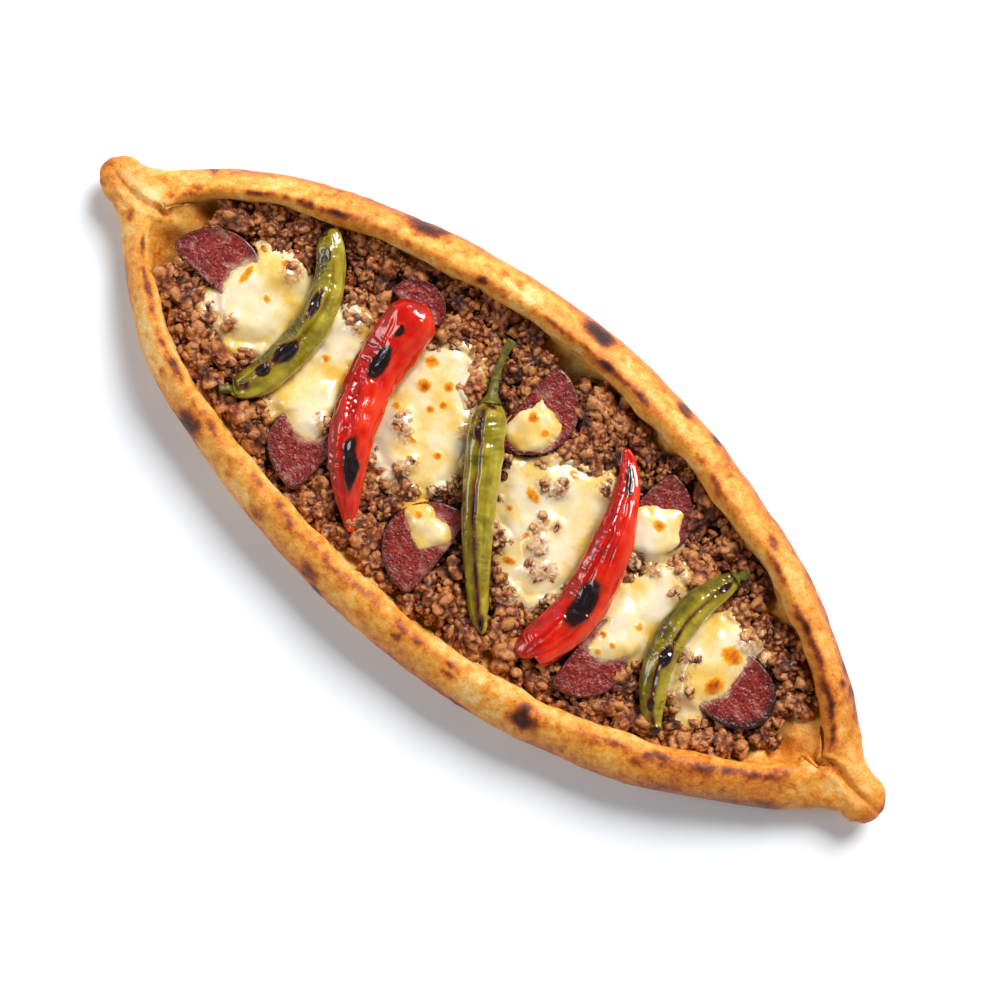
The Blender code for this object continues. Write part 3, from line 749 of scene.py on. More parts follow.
def cheese_finish():
    """Cream to yellow, a little see-through and oily, with orange brown blisters at the blister mark."""
    made, tree, shader = new_finish("melted_cheese", 0.20, 0.6, 0.45)
    soft = grain(tree, 12.0, 3.0, 0.5, warp=0.15)
    fine = grain(tree, 1.4, 3.0, 0.6) - 0.5
    yellow = ramp(
        soft + fine * 0.16 + mark(tree, "tone"),
        (0.32, (244, 225, 192)), (0.45, (244, 217, 160)), (0.57, (240, 200, 112)), (0.74, (230, 174, 62)),
    )
    burnt = mark(tree, "blister") + fine * 0.75
    brown = ramp(
        burnt, (0.20, (246, 204, 104)), (0.45, (240, 160, 26)), (0.78, (208, 102, 18)), (1.00, (150, 62, 18))
    )
    colour = blend(ramp(burnt, (0.14, 0.0), (0.38, 1.0)), yellow, brown)
    meaty = ramp(mark(tree, "meat") + fine * 0.9, (0.35, 0.0), (0.75, 0.9))
    dress(shader, blend(meaty, colour, (168, 106, 66)), soft * 1.2 + fine * 0.08, 0.9, 0.5)
    shader.inputs["Subsurface Weight"].default_value = 0.25
    shader.inputs["Subsurface Radius"].default_value = (1.0, 0.6, 0.25)
    shader.inputs["Subsurface Scale"].default_value = 0.002
    return made


# Blisters on each patch: share of the way along and across its box, half length, half width.
blisters = {
    "cheese_1": ((0.18, 0.62, 1.2, 3.4), (0.60, 0.56, 1.3, 0.8), (0.49, 0.98, 1.3, 1.3)),
    "cheese_2": ((0.25, 0.60, 1.2, 1.2),),
    "cheese_3": ((0.10, 0.81, 2.0, 2.0), (0.20, 0.64, 2.1, 2.1), (0.40, 0.75, 1.6, 1.6),
                 (0.48, 0.62, 1.2, 1.1), (0.40, 0.54, 1.2, 1.2), (0.11, 0.40, 1.2, 1.2),
                 (0.26, 0.28, 1.0, 1.0), (0.47, 0.28, 1.6, 0.9), (0.77, 0.31, 1.2, 1.2)),
    "cheese_4": ((0.28, 0.61, 2.6, 1.4), (0.19, 0.43, 0.9, 0.9), (0.47, 0.35, 0.9, 1.7),
                 (0.46, 0.92, 1.6, 1.0), (0.50, 0.13, 2.0, 1.2)),
    "cheese_5": ((0.70, 0.45, 1.2, 1.2), (0.24, 0.21, 1.1, 0.9), (0.52, 0.19, 1.0, 0.9),
                 (0.38, 0.07, 1.1, 0.8)),
    "cheese_6": ((0.68, 0.73, 3.4, 2.6), (0.78, 0.36, 2.6, 3.4)),
    "cheese_7": ((0.20, 0.64, 1.6, 1.6), (0.72, 0.53, 1.3, 1.3)),
    "cheese_8": ((0.43, 0.77, 1.8, 1.8),),
    "cheese_9": ((0.19, 0.65, 1.4, 1.2),),
}
# Crumbs that show through: the same shares, and how wide they lie.
show_through = {
    "cheese_1": ((0.30, 0.08, 3.0), (0.70, 1.00, 2.5)),
    "cheese_2": ((0.30, 1.00, 2.5), (0.92, 0.20, 2.0)),
    "cheese_3": ((0.31, 0.26, 2.4), (0.62, 0.11, 3.0), (0.84, 0.60, 2.0), (0.55, 0.98, 3.0),
                 (0.95, 0.85, 2.5)),
    "cheese_4": ((0.48, 0.77, 3.4), (0.61, 0.37, 2.8), (0.73, 0.24, 3.2), (0.53, 0.52, 2.2),
                 (0.15, 0.92, 2.5), (0.12, 0.20, 2.5), (0.80, 0.95, 2.5)),
    "cheese_5": ((0.85, 0.95, 3.0), (0.20, 0.90, 2.0)),
    "cheese_6": ((0.42, 0.10, 3.4), (0.75, 1.00, 3.0), (0.15, 0.45, 1.6)),
}
cheese_step, cheese_thickness = 0.6, 0.9
sheet_sag, cap_sag = 2.8, 2.0  # how far the edge comes down: beside a slice, and on one
run_out_height = 14.6  # the highest that the sheet starts where it runs out over the mince
sheet_spread = 6.5
cap_spread = {"cheese_7": 3.2, "cheese_8": 4.6, "cheese_9": 2.6}
cheese_cream = cheese_finish()
slices = solid_of(*(name for name in node_names if name.startswith("sucuk_")))
stuck_crumbs = []
stuck_chance = random.Random(57)


def soften(grid, times):
    """Each point averaged with its four neighbours, this many times."""
    for _ in range(times):
        beside = np.roll(grid, 1, 0), np.roll(grid, -1, 0), np.roll(grid, 1, 1), np.roll(grid, -1, 1)
        grid = sum(beside, grid) / 5.0
    return grid


def crumb_tops(gx, gy, xs, ys):
    """The height of the crumbs' tops over a grid, and 0 where there are none."""
    tops = np.zeros_like(gx)
    for px, py, pz, size, _cheesy in clumps + crumbs + bits:
        if xs[0] - size < px < xs[-1] + size and ys[0] - size < py < ys[-1] + size:
            rows = slice(*np.searchsorted(xs, (px - size, px + size)))
            columns = slice(*np.searchsorted(ys, (py - size, py + size)))
            near = (gx[rows, columns] - px) ** 2 + (gy[rows, columns] - py) ** 2
            dome = pz + 0.66 * np.sqrt(np.maximum((0.95 * size) ** 2 - near, 0.0))
            dome = np.where(near < (0.95 * size) ** 2, dome, 0.0)
            tops[rows, columns] = np.maximum(tops[rows, columns], dome)
    return tops


def cheese_patch(node, spread, finish):
    """A melted sheet that follows the solid, sags between the crumbs and runs out thin around it."""
    solid = solid_of(node)
    low, high = box_of(node)
    xs = np.arange(low.x - spread - 2.5, high.x + spread + 2.5, cheese_step)
    ys = np.arange(low.y - spread - 2.5, high.y + spread + 2.5, cheese_step)
    gx, gy = np.meshgrid(xs, ys, indexing="ij")
    top = np.array([[top_of(solid, px, py, np.nan) for py in ys] for px in xs])
    over_slice = np.array([[top_of(slices, px, py) is not None for py in ys] for px in xs])
    within = ~np.isnan(top)
    edge = within & ~(
        np.roll(within, 1, 0) & np.roll(within, -1, 0) & np.roll(within, 1, 1) & np.roll(within, -1, 1)
    )
    rim = np.stack([gx[edge], gy[edge]], -1)
    rim_top = top[edge]
    apart = np.hypot(gx[..., None] - rim[:, 0], gy[..., None] - rim[:, 1])
    nearest = apart.argmin(-1)
    inward = np.where(within, 1.0, -1.0) * apart.min(-1)
    top = np.where(within, top, rim_top[nearest])
    top = np.where(within | over_slice, top, np.minimum(top, run_out_height))
    top = soften(top, 10)
    at = np.stack([gx, gy, 0.0 * gx], -1)
    tops = soften(crumb_tops(gx, gy, xs, ys), 5)
    held = over_slice & (node not in cap_spread)
    reach = soften(np.where(held, 0.5, spread), 4)
    ragged = np.where(held, 0.45, 1.0)
    uneven_edge = 2.6 * lumps(at, 14.0, 50.0) + 2.6 * lumps(at, 8.0, 51.0) + 1.2 * lumps(at, 4.2, 52.0)
    inward = inward + reach + ragged * uneven_edge
    thick = ease(-0.3, 1.2 + 0.9 * spread, inward)
    sag = np.where(over_slice, cap_sag, sheet_sag)
    height = top - sag + sag * np.sqrt(np.maximum(thick, 0.0))
    height += (0.55 * lumps(at, 9.0, 54.0) + 0.30 * lumps(at, 4.0, 55.0)) * (0.3 + 0.7 * thick)
    patchy = np.clip(lumps(at, 7.0, 59.0) + 0.6 * lumps(at, 3.0, 60.0), 0.0, 1.0)
    meat = 0.55 * ease(0.30, 0.0, thick) + 0.30 * patchy
    # Over the crumbs beside it the sheet hangs as a film, which thins out until they stand clear of it.
    film = -1.1 + 1.7 * thick
    draped = np.minimum(tops + film, height + 2.2)
    over_crumb = np.clip(draped - height, 0.0, 2.0)
    height += over_crumb
    meat = np.maximum(meat, 0.62 * np.clip(over_crumb, 0.0, 1.0) * ease(0.95, 0.35, thick))
    for u, v, wide in show_through.get(node, ()):
        mx, my = low.x + u * (high.x - low.x), low.y + v * (high.y - low.y)
        for _ in range(int(1 + 1.1 * wide)):
            cx, cy = stuck_chance.gauss(mx, 0.75 * wide), stuck_chance.gauss(my, 0.75 * wide)
            size = stuck_chance.uniform(2.4, 4.4)
            bump = spot(gx, gy, cx, cy, 1.3 * size, 1.3 * size)
            height += 0.9 * bump
            meat = np.maximum(meat, 0.62 * bump)
            row, column = int((cx - xs[0]) / cheese_step), int((cy - ys[0]) / cheese_step)
            stuck_crumbs.append((cx, cy, float(height[row, column]) - 0.40 * size, size, 0.18))
    blister = np.zeros_like(gx)
    for u, v, rx, ry in blisters.get(node, ()):
        cx, cy = low.x + u * (high.x - low.x), low.y + v * (high.y - low.y)
        uneven = 1.0 + 0.35 * lumps(at, 2.6, 56.0)
        turn = stuck_chance.uniform(-25.0, 25.0)
        blister = np.maximum(blister, 0.74 * uneven * spot(gx, gy, cx, cy, 1.25 * rx, 1.25 * ry, turn))
    height += 0.4 * blister
    tone = 0.06 - 0.10 * thick + 0.10 * lumps(at, 16.0, 58.0)
    made = grid_piece(
        node.replace("cheese_", "melted_cheese_"), xs, ys, height, height - cheese_thickness,
        inward > -0.3, finish, {"blister": blister, "meat": meat, "tone": tone},
    )
    serve(made, "cheese", node)


for node in node_names:
    if node.startswith("cheese_"):
        cheese_patch(node, cap_spread.get(node, sheet_spread), cheese_cream)
stuck_shapes = [clump_shape(seed, 3, 4, 0.60) for seed in range(61, 69)]
crumb_mesh("mince_in_cheese", stuck_crumbs, stuck_shapes, mince_light, stuck_chance)

# ============================================================================
# Flakes of dried red pepper and tomato skin, one to three millimetres long. They were cooked with the
# mince and lie loose between its crumbs, each a thin crumpled chip.
# ============================================================================


def flake_finish():
    """Red to orange, dried."""
    made, tree, shader = new_finish("pepper_flake", 0.35, 0.4, 0.5)
    tone = mark(tree, "tone") + grain(tree, 1.5) * 0.4
    colour = ramp(tone, (0.25, (120, 14, 6)), (0.55, (176, 34, 12)), (0.95, (214, 96, 22)))
    fill(shader.inputs["Base Color"], colour)
    return made


flake_chance = random.Random(73)
flake_points, flake_faces, flake_tones, flake_total = [], [], [], 0
flake_places = [(-107.0, 20.0, 1.7)]
while len(flake_places) < 34:
    px, py = flake_chance.uniform(-128.0, 128.0), flake_chance.uniform(-46.0, 46.0)
    room = float(lip_at(px, 1 if py > 0 else -1))
    if abs(py) < room - 5.0 and not covered(px, py, 1.5):
        flake_places.append((px, py, flake_chance.uniform(0.6, 1.3)))
for number, (px, py, flake_size) in enumerate(flake_places):
    shape, shape_faces, _depth = clump_shape(90 + number, 2, 3, 0.7)
    tilt, heading = flake_chance.uniform(-0.5, 0.5), flake_chance.uniform(0, 6.3)
    body = turned(shape * (1.0, 0.8, 0.28), 0.0, tilt, heading)
    near = [z + 0.55 * size for x, y, z, size, _c in clumps + crumbs if math.dist((x, y), (px, py)) < size]
    flake_points.append(body * flake_size + np.array([px, py, max(near, default=13.2) + 0.1]))
    flake_faces.append(shape_faces + flake_total)
    flake_total += len(body)
    flake_tones.append(np.full(len(body), flake_chance.uniform(0.1, 0.7)))
flakes = new_piece(
    "pepper_flakes", np.vstack(flake_points), np.vstack(flake_faces).tolist(), flake_finish(),
    {"tone": np.concatenate(flake_tones)},
)
serve(flakes, "red_pepper")

# ============================================================================
# The sucuk: cured beef sausage cut across in slices about 4 mm thick, most of them halved. The meat is
# coarse and dark red with pale fat, in a darker casing that the oven pulled up a little at the edge.
# ============================================================================


def sucuk_finish():
    """Dark red grain with fat specks, a darker rim, a milky film beside cheese, and char."""
    made, tree, shader = new_finish("sucuk_meat", 0.24, 0.6, 0.45)
    fine = grain(tree, 0.8, 3.0, 0.6)
    broad = grain(tree, 5.0, 2.0, 0.5)
    mosaic = cells(tree, 0.9, "Color") * 0.5 + fine * 0.5
    meat = ramp(mosaic, (0.15, (66, 8, 8)), (0.45, (116, 23, 18)), (0.75, (166, 53, 38)))
    fat = ramp(cells(tree, 2.2) + fine * 0.35, (0.24, 1.0), (0.34, 0.0))
    colour = blend(fat * 0.45 * broad, meat, (206, 120, 94))
    colour = blend(mark(tree, "casing"), colour, (50, 9, 9))
    milky = ramp(mark(tree, "film") + (broad - 0.5) * 1.4, (0.12, 0.0), (0.75, 0.62))
    colour = blend(milky, colour, (222, 176, 150))
    colour = blend(mark(tree, "char"), colour, (26, 12, 12))
    height = cells(tree, 0.9) * -0.3 + fine * 0.5 + grain(tree, 2.4, 3.0, 0.6) * 2.2
    dress(shader, colour, height, 0.5, 0.8)
    return made


slice_around, slice_rings = 120, 22
film_reach = 2.4  # how far a thin film of cheese runs out over a slice
scorched_side = {"sucuk_8": -20.0}  # the heading in which a slice's rim is burnt, in degrees


def sucuk_slice(node, finish, seed):
    """The slice's own outline, felt from its middle, with a rounded and slightly curled edge."""
    solid = solid_of(node)
    low, high = box_of(node)
    middle = Vector(((low.x + high.x) / 2, (low.y + high.y) / 2, low.z + 0.45 * (high.z - low.z)))
    angles = np.linspace(0.0, 2.0 * math.pi, slice_around, endpoint=False)
    reach = np.array(
        [(solid.ray_cast(middle, Vector((math.cos(a), math.sin(a), 0.0)))[0] - middle).length for a in angles]
    )
    for _ in range(3):
        reach = (reach + np.roll(reach, 1) + np.roll(reach, -1)) / 3.0
    circle = np.stack([np.cos(angles), np.sin(angles), 0.0 * angles], -1)
    ragged = 1.0 + 0.010 * lumps(circle, 0.35, seed) + 0.006 * lumps(circle, 0.12, seed)
    # Share of the reach and height of each ring, from the underside's middle round to the top's.
    thickness = high.z - low.z
    edge_out = [0.99, 1.0, 1.0, 0.99]
    out = np.concatenate([np.linspace(0.3, 0.96, 5), edge_out, np.linspace(0.965, 0.06, slice_rings)])
    up = np.concatenate([np.zeros(5), [0.08, 0.3, 0.75, 0.93], np.ones(slice_rings)])
    grid = np.zeros((len(out), slice_around, 3))
    grid[..., 0] = middle.x + out[:, None] * reach * ragged * np.cos(angles)
    grid[..., 1] = middle.y + out[:, None] * reach * ragged * np.sin(angles)
    lift = 0.5 * out[:, None] ** 4 * up[:, None] * (1.0 + 0.6 * lumps(circle, 0.8, seed + 3.0))
    grain_lift = 0.30 * lumps(grid, 3.0, seed) + 0.14 * lumps(grid, 1.2, seed)
    grid[..., 2] = low.z + thickness * up[:, None] - 0.35 + lift + grain_lift * (up[:, None] > 0.99)
    darker = 0.32 * ease(0.60, 0.95, out) + 0.45 * ease(0.93, 0.985, out)
    facing = np.cos(angles - math.radians(scorched_side.get(node, 0.0)))
    char = (node in scorched_side) * ease(0.72, 1.0, out[:, None] + 0.08 * lumps(grid, 3.0, seed + 6.0))
    film = np.array([[cheese_around(px, py, film_reach) for px, py, _z in ring] for ring in grid])
    marks = {
        "casing": np.broadcast_to(darker[:, None], film.shape),
        "char": char * ease(0.0, 0.7, facing),
        "film": film * (up[:, None] > 0.9),
    }
    made = ringed_piece(node.replace("sucuk_", "sucuk_slice_"), grid, finish, marks)
    serve(made, "sucuk", node)


sucuk_meat = sucuk_finish()
for number, node in enumerate(name for name in node_names if name.startswith("sucuk_")):
    sucuk_slice(node, sucuk_meat, 60.0 + number)

# ============================================================================
# The peppers: long green peppers and strips of red pepper, roasted whole. The skin has slackened into
# lengthwise folds and short cross wrinkles, shines with oil, and is blistered black where it was hottest.
# ============================================================================


def even_steps(rows, count):
    """The same line at even steps of its own length, and its length."""
    run = np.concatenate([[0.0], np.cumsum(np.hypot(*np.diff(rows[:, :2], axis=0).T))])
    steps = np.linspace(0.0, run[-1], count)
    return np.stack([np.interp(steps, run, column) for column in rows.T], -1), run[-1]


def headings(line):
    """The direction of the line at each of its points, and the direction across it."""
    along = np.gradient(line[:, :2], axis=0)
    along /= np.linalg.norm(along, axis=1, keepdims=True)
    return along, np.stack([along[:, 1], -along[:, 0]], -1)


def felt_line(node, count):
    """Middle, half width, underside and top of a long solid at even steps along it, from its +Y end."""
    solid = solid_of(node)
    low, high = box_of(node)
    levels = np.linspace(low.z + 0.3, high.z - 0.3, 20)
    heights = np.linspace(high.y - 3.0, low.y + 3.0, 60)
    line = []
    for y in heights:
        lefts = [solid.ray_cast(Vector((low.x - 5.0, y, z)), Vector((1.0, 0.0, 0.0)))[0] for z in levels]
        rights = [solid.ray_cast(Vector((high.x + 5.0, y, z)), Vector((-1.0, 0.0, 0.0)))[0] for z in levels]
        if any(lefts):
            line.append((min(h.x for h in lefts if h), max(h.x for h in rights if h), y))
    line = np.array([((left + right) / 2, y) for left, right, y in line])
    for _ in range(3):
        # Run the line on past both ends, cut it where the solid ends, then centre it again.
        line, _length = even_steps(line, 60)
        for _ in range(4):
            line[1:-1] = (line[:-2] + 2 * line[1:-1] + line[2:]) / 4.0
        along, _across = headings(line)
        trimmed = line[6:-6]
        start = trimmed[0] - np.arange(40, 0, -1)[:, None] * 0.4 * along[6]
        end = trimmed[-1] + np.arange(1, 41)[:, None] * 0.4 * along[-7]
        line = np.vstack([start, trimmed, end])
        inside_it = np.array([top_of(solid, px, py) is not None for px, py in line])
        first, last = inside_it.argmax(), len(line) - 1 - inside_it[::-1].argmax()
        line, _length = even_steps(line[first : last + 1], count)
        along, across = headings(line)
        rows = []
        for (px, py), (nx, ny) in zip(line, across):
            widths = [0.0, 0.0]
            for which, sign in enumerate((1.0, -1.0)):
                aim = Vector((-sign * nx, -sign * ny, 0.0))
                for z in levels:
                    hit = solid.ray_cast(Vector((px, py, z)) - 14.0 * aim, aim)[0]
                    if hit is not None:
                        widths[which] = max(widths[which], sign * ((hit.x - px) * nx + (hit.y - py) * ny))
            rows.append(widths)
        rows = np.array(rows)
        line = line + across * ((rows[:, 0] - rows[:, 1]) / 2)[:, None]
    half = np.maximum(rows.mean(1), 0.3)
    tops = np.array([top_of(solid, px, py, high.z) for px, py in line])
    unders = []
    for px, py in line:
        under = solid.ray_cast(Vector((px, py, -10.0)), Vector((0.0, 0.0, 1.0)))[0]
        unders.append(low.z if under is None else under.z)
    felt = np.column_stack([line, half, unders, tops])
    for _ in range(3):
        felt[1:-1] = (felt[:-2] + 2 * felt[1:-1] + felt[2:]) / 4.0
    return felt


pepper_around = 96


def pepper_body(name, rows, length, skin, wrinkles, chars, slits, finish):
    """A flattened tube along the line with folds, wrinkles, slits and blisters, rounded at both ends."""
    count = len(rows)
    share = np.linspace(0.0, 1.0, count)
    _along, sideways = headings(rows)
    angles = np.linspace(0.0, 2.0 * math.pi, pepper_around, endpoint=False)
    half, under, top = rows[:, 2], rows[:, 3], rows[:, 4]
    to_end = np.minimum(share, 1.0 - share) * length
    blunt = np.clip(to_end / np.maximum(0.75 * half, 0.5), 0.0, 1.0)
    rounded = np.sqrt(np.maximum(1.0 - (1.0 - blunt) ** 2, 0.02))
    half = half * rounded
    height = np.maximum((top - under) / 2.0, 0.6) * rounded
    middle = (top + under) / 2.0
    # Where each point of the skin lies: along the pepper and around it, in millimetres.
    way = np.broadcast_to((share * length)[:, None], (count, pepper_around))
    arc = np.broadcast_to(angles, (count, pepper_around))
    side = np.cos(arc)
    skin_at = np.stack([way, rows[:, 2].mean() * side, rows[:, 2].mean() * np.sin(arc)], -1)
    drift = 2.4 * lumps(skin_at, 9.0, skin + 1.0)
    warped = skin_at + drift[..., None] * np.array([1.0, 0.5, 0.5])
    folds = lumps(warped * (1 / 7.0, 1.0, 1.0), wrinkles["fold_size"], skin)
    creases = lumps(warped * (1.0, 0.35, 0.35), wrinkles["crease_size"], skin + 2.0)
    dimples = lumps(skin_at * (0.6, 1.0, 1.0), 3.2, skin + 3.0)
    slack = np.clip(0.5 + 1.2 * lumps(skin_at, 13.0, skin + 6.0), 0.0, 1.0)
    crease_share = np.clip(slack * (wrinkles["crease_over"] + wrinkles["crease_left"] * side), 0.0, 1.0)
    crease_share = crease_share * ease(-0.1, 0.6, np.sin(arc))
    swell = -2.0 * wrinkles["fold"] * np.sqrt(0.02 + folds**2)
    swell -= 2.0 * wrinkles["crease"] * crease_share * np.sqrt(0.01 + creases**2)
    swell = swell + 0.5 * wrinkles["fold"] + wrinkles["dimple"] * dimples
    upper = ease(-0.5, 0.0, np.sin(arc))
    char = np.zeros((count, pepper_around))
    wander_way = 1.4 * lumps(skin_at, 6.5, skin + 7.0) + 0.3 * lumps(skin_at, 2.2, skin + 8.0)
    wander_side = 0.20 * lumps(skin_at, 7.0, skin + 9.0) + 0.04 * lumps(skin_at, 2.2, skin + 10.0)
    for at, over, long_half, wide_half, strength in chars:
        patch = spot(way + wander_way, side + wander_side, at * length, over, long_half, wide_half)
        char = np.maximum(char, strength * patch * upper)
    ripples = np.abs(lumps(warped * (0.5, 1.0, 1.0), 3.4, skin + 4.0))
    swell = swell * (1.0 - 0.6 * char) + 1.3 * char * (1.0 - char) - char * (0.45 - 1.7 * ripples)
    for start, start_over, stop, stop_over, wide, deep, scorch in slits:
        part = np.clip((way / length - start) / (stop - start), 0.0, 1.0)
        off = (side + 0.6 * wander_side - start_over - part * (stop_over - start_over)) * half[:, None]
        line = bell(off, 0.0, wide) * upper
        line = line * ease(start - 0.02, start + 0.03, way / length)
        line = line * ease(stop + 0.02, stop - 0.03, way / length)
        swell = swell - deep * line + 0.4 * deep * bell(off, 0.0, 2.4 * wide) * (line > 0.001)
        streaky = 0.75 + 0.9 * lumps(skin_at * (0.4, 1.0, 1.0), 3.0, skin + 12.0)
        char = np.maximum(char, scorch * line * streaky)
    swell = swell * (0.25 + 0.75 * np.clip(to_end / 3.0, 0.0, 1.0))[:, None]
    out = half[:, None] * side
    up = height[:, None] * np.sin(arc)
    reach = np.maximum(np.hypot(out, up), 0.3)
    grow = 1.0 + np.clip(swell, -0.6 * reach, 0.5 * reach) / reach
    grid = np.empty((count, pepper_around, 3))
    grid[..., 0] = rows[:, 0, None] + sideways[:, 0, None] * out * grow
    grid[..., 1] = rows[:, 1, None] + sideways[:, 1, None] * out * grow
    grid[..., 2] = middle[:, None] + up * grow
    # The fold mark gives painted shade to the folds' hollows and painted light to their ridges, and the side
    # mark paints one side lighter than the other.
    marks = {"char": char, "fold": np.clip(0.5 + 1.5 * swell, 0.0, 1.0), "side": 0.5 - 0.5 * side}
    return ringed_piece(name, grid, finish, marks)


def pepper_finish(name, dark, middle, light, roughness):
    """Oily skin with painted shade in the hollows of its folds and painted light on their ridges, one side
    painted lighter than the other as light falls, brown and then black around the char mark.
    """
    made, tree, shader = new_finish(name, roughness, 0.85, 0.4)
    shader.inputs["Coat Roughness"].default_value = 0.07
    cloud = grain(tree, 6.0, 3.0, 0.55)
    fine = grain(tree, 1.1, 3.0, 0.6) - 0.5
    # Painted light and shade from the side and fold marks.
    tone = cloud * 0.6 + mark(tree, "side") * 0.35 + (mark(tree, "fold") - 0.5) * 0.16
    colour = ramp(tone, (0.26, dark), (0.48, middle), (0.74, light))
    burn = mark(tree, "char") + fine * 0.25
    black = ramp(burn, (0.22, (112, 34, 14)), (0.50, (48, 17, 14)), (0.85, (24, 12, 15)))
    colour = blend(ramp(burn, (0.10, 0.0), (0.44, 1.0)), colour, black)
    dress(shader, colour, fine + cloud * 0.6, 0.26, 0.4)
    return made


def stalk_piece(name, rows, finish, seed):
    """A thin woody stalk along the line, ribbed, with a flared cut end."""
    count, around = len(rows), 18
    _along, sideways = headings(rows)
    angles = np.linspace(0.0, 2.0 * math.pi, around, endpoint=False)
    middle = (rows[:, 3] + rows[:, 4]) / 2.0
    # The cut end flares a little; the other end spreads into the cap on the fruit's shoulder.
    radius = rows[:, 2] * (1.0 + 0.30 * np.exp(-np.arange(count) / 2.5))
    radius = radius + 2.6 * np.exp(-np.arange(count)[::-1] / 2.2)
    uneven = lumps_along(np.arange(count) * 0.7, 2.0, seed)
    ribs = 1.0 + 0.10 * np.cos(5.0 * angles)[None, :] + 0.12 * uneven[:, None]
    out = radius[:, None] * ribs * np.cos(angles)
    up = radius[:, None] * ribs * np.sin(angles)
    grid = np.empty((count, around, 3))
    grid[..., 0] = rows[:, 0, None] + sideways[:, 0, None] * out
    grid[..., 1] = rows[:, 1, None] + sideways[:, 1, None] * out
    grid[..., 2] = middle[:, None] + up
    return ringed_piece(name, grid, finish, {})


def stalk_finish():
    """Dull green brown stalk, darker in streaks."""
    made, tree, shader = new_finish("pepper_stalk", 0.5, 0.1, 0.4)
    streak = grain(tree, 2.0, 3.0, 0.6)
    colour = ramp(streak, (0.3, (62, 54, 12)), (0.55, (108, 100, 26)), (0.8, (150, 142, 60)))
    dress(shader, colour, streak, 0.4, 0.8)
    return made


green_skin = pepper_finish("green_pepper_skin", (78, 68, 4), (138, 122, 10), (192, 172, 56), 0.20)
red_skin = pepper_finish("red_pepper_skin", (148, 7, 2), (207, 20, 5), (232, 60, 14), 0.16)
stalk_skin = stalk_finish()

# Char blisters: share of the length from the +Y end, place across from -1 to 1, half length, half
# width as a share across, strength.
green_chars = {
    "green_pepper_1": ((0.12, 0.1, 2.6, 0.22, 0.7), (0.38, 0.35, 6.0, 0.24, 0.85),
                       (0.66, 0.1, 5.6, 0.42, 1.0), (0.80, 0.2, 3.6, 0.35, 0.9), (0.92, 0.0, 2.4, 0.5, 0.5)),
    "green_pepper_2": ((0.04, 0.0, 1.4, 0.5, 0.5), (0.16, 0.5, 4.0, 0.20, 0.6), (0.95, 0.0, 4.0, 0.6, 0.55)),
    "green_pepper_3": ((0.09, -0.1, 2.6, 0.30, 1.0), (0.58, -0.15, 4.6, 0.42, 1.0),
                       (0.84, 0.1, 3.0, 0.30, 0.8), (0.99, 0.0, 2.5, 1.0, 0.8)),
}
red_chars = {
    "red_pepper_1": ((0.14, 0.15, 2.6, 0.14, 0.7), (0.29, 0.05, 6.5, 0.28, 1.0),
                     (0.72, -0.1, 9.5, 0.38, 1.0)),
    "red_pepper_2": ((0.13, -0.1, 5.5, 0.40, 0.9), (0.67, 0.0, 9.5, 0.46, 1.0)),
}
# Slits and sharp folds: share of the length and place across at each end, half width, depth, scorch.
pepper_slits = {
    "green_pepper_1": ((0.15, -0.25, 0.75, 0.10, 1.0, 0.7, 0.38), (0.30, 0.45, 0.95, 0.35, 0.5, 0.5, 0.1)),
    "green_pepper_2": ((0.04, 0.42, 0.98, 0.10, 1.2, 1.3, 0.62), (0.20, -0.50, 0.85, -0.30, 0.6, 0.3, 0.0)),
    "green_pepper_3": ((0.12, -0.10, 0.55, -0.30, 1.0, 0.8, 0.50), (0.60, 0.05, 0.96, 0.15, 1.1, 0.8, 0.70)),
    "red_pepper_1": ((0.35, 0.55, 0.62, 0.25, 0.7, 0.9, 0.0), (0.60, 0.35, 0.98, 0.15, 0.7, 0.9, 0.0),
                     (0.08, -0.35, 0.30, -0.10, 0.6, 0.6, 0.0), (0.10, 0.60, 0.24, 0.30, 0.6, 0.6, 0.0)),
    "red_pepper_2": ((0.10, 0.30, 0.60, 0.35, 0.8, 1.0, 0.0), (0.20, -0.20, 0.58, -0.05, 0.6, 0.8, 0.0),
                     (0.72, -0.45, 0.99, -0.40, 0.7, 1.0, 0.0), (0.78, 0.25, 0.99, 0.20, 0.7, 0.9, 0.0)),
}
green_wrinkles = {
    "fold_size": 3.4, "fold": 0.45, "crease_size": 1.7, "crease": 0.70,
    "crease_over": 0.6, "crease_left": 0.2, "dimple": 0.35,
}
red_wrinkles = {
    "fold_size": 4.6, "fold": 0.65, "crease_size": 2.1, "crease": 0.95,
    "crease_over": 0.18, "crease_left": 0.9, "dimple": 0.5,
}

felt_steps, pepper_rings, fruit_rings, stalk_rings = 150, 220, 200, 26
widest_stalk = 2.3  # half width, past which the fruit starts

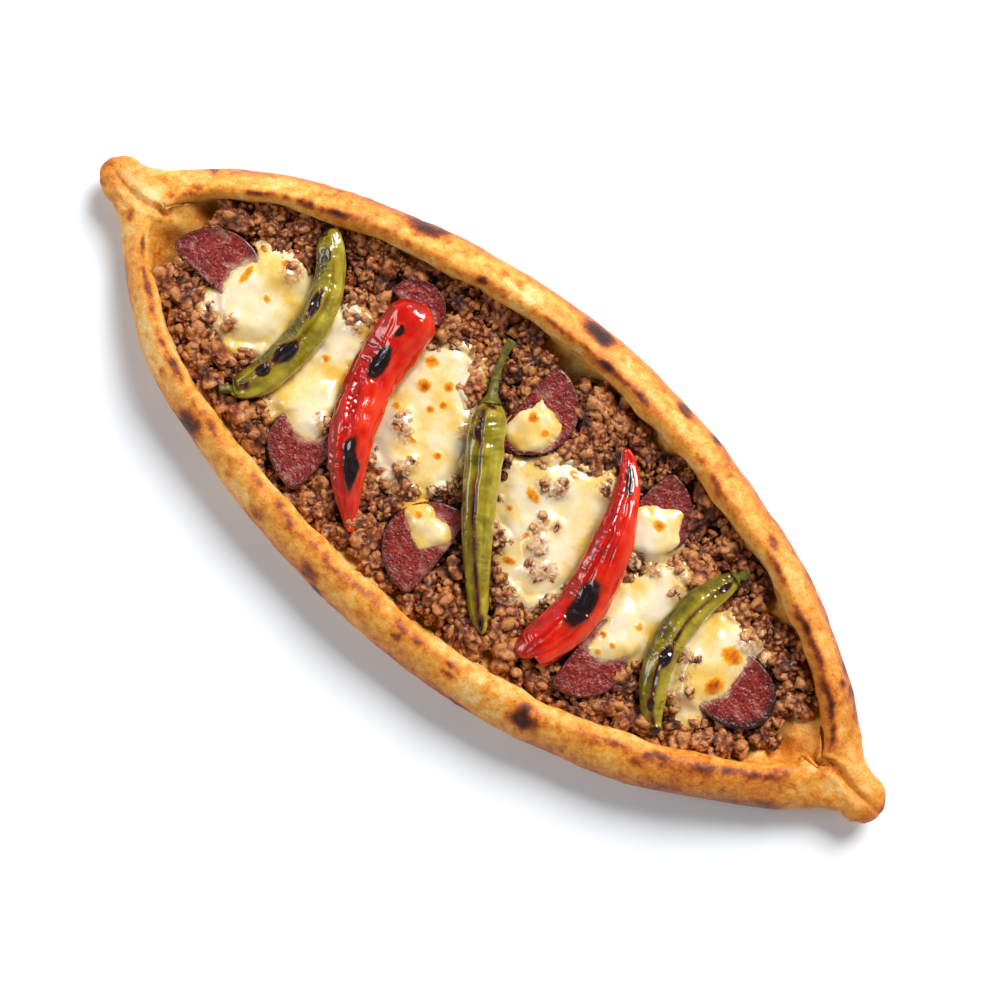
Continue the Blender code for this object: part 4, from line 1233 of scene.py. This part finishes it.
for number, (node, chars) in enumerate(green_chars.items()):
    rows, _length = even_steps(felt_line(node, felt_steps), pepper_rings)
    body = rows[:, 2] > widest_stalk
    first, last = np.argmax(body), len(body) - 1 - np.argmax(body[::-1])
    stalk_first = first > len(body) - 1 - last
    stalk_end = (0, first + 5) if stalk_first else (last - 5, len(body))
    fruit = rows[first:] if stalk_first else rows[: last + 1]
    fruit, length = even_steps(fruit, fruit_rings)
    pepper = pepper_body(
        f"green_pepper_fruit_{number + 1}", fruit, length, 70.0 + number, green_wrinkles, chars,
        pepper_slits[node], green_skin,
    )
    serve(pepper, "green_pepper", node)
    stalk_rows = rows[stalk_end[0] : stalk_end[1]]
    stalk_rows = stalk_rows if stalk_first else stalk_rows[::-1]
    stalk_rows, _length = even_steps(stalk_rows, stalk_rings)
    stalk_rows[:, 2] = np.clip(stalk_rows[:, 2], 1.0, 1.5)
    stalk = stalk_piece(f"green_pepper_stalk_{number + 1}", stalk_rows, stalk_skin, 75.0 + number)
    serve(stalk, "green_pepper")

for number, (node, chars) in enumerate(red_chars.items()):
    rows, length = even_steps(felt_line(node, felt_steps), pepper_rings)
    pepper = pepper_body(
        f"red_pepper_strip_{number + 1}", rows, length, 80.0 + number, red_wrinkles, chars,
        pepper_slits[node], red_skin,
    )
    serve(pepper, "red_pepper", node)

# ============================================================================
# What the pide lies on, and the light: a plain white table, one soft lamp high on the far side, a weaker
# one across from it, white walls all round, and the view straight down.
# ============================================================================

bpy.ops.mesh.primitive_plane_add(size=6.0, location=(0.0, 0.0, 0.0))
table = bpy.context.object
table.name = "table_top"
table_finish, tree, shader = new_finish("plain_table", 0.9, 0.0, 0.1)
cloudy_white = ramp(grain(tree, 40.0, 2.0), (0.0, (243.45, 248.15, 252.75)), (1.0, (245.8, 250.5, 255.0)))
fill(shader.inputs["Base Color"], cloudy_white)
table.data.materials.append(table_finish)

camera_turn = math.radians(40.0)


def soft_lamp(name, direction, distance, size, power):
    data = bpy.data.lights.new(name, "AREA")
    data.shape = "SQUARE"
    data.size = size
    data.energy = power
    lamp = bpy.data.objects.new(name, data)
    lamp.location = direction.normalized() * distance
    lamp.rotation_euler = (-direction).to_track_quat("-Z", "Y").to_euler()
    bpy.context.scene.collection.objects.link(lamp)


soft_lamp("window", Vector((-0.05, 0.70, 0.70)), distance=2.2, size=1.0, power=62.0)
soft_lamp("reflector", Vector((-0.77, -0.55, 0.75)), distance=2.2, size=0.9, power=13.0)
world = bpy.data.worlds.new("room")
world.use_nodes = True
room = world.node_tree
# White walls all round and a darker ceiling.
facing_way = Value(add(room, "ShaderNodeTexCoord").outputs["Generated"])
up_share = Value(add(room, "ShaderNodeSeparateXYZ", Vector=facing_way).outputs["Z"])
fill(room.nodes["Background"].inputs["Color"], ramp(up_share, (0.35, 1.0), (0.90, 0.18)))
fill(room.nodes["Background"].inputs["Strength"], 0.48)
bpy.context.scene.world = world
bpy.context.scene.view_settings.view_transform = "Standard"

lens, sensor, view_width, outline_level = 85.0, 36.0, 0.356, 0.009
camera_data = bpy.data.cameras.new("overhead")
camera_data.lens = lens
camera_data.sensor_width = sensor
camera = bpy.data.objects.new("overhead", camera_data)
camera.location = (0.00475, -0.00125, outline_level + view_width * lens / sensor)
camera.rotation_euler = (0.0, 0.0, camera_turn)
bpy.context.scene.collection.objects.link(camera)
bpy.context.scene.camera = camera
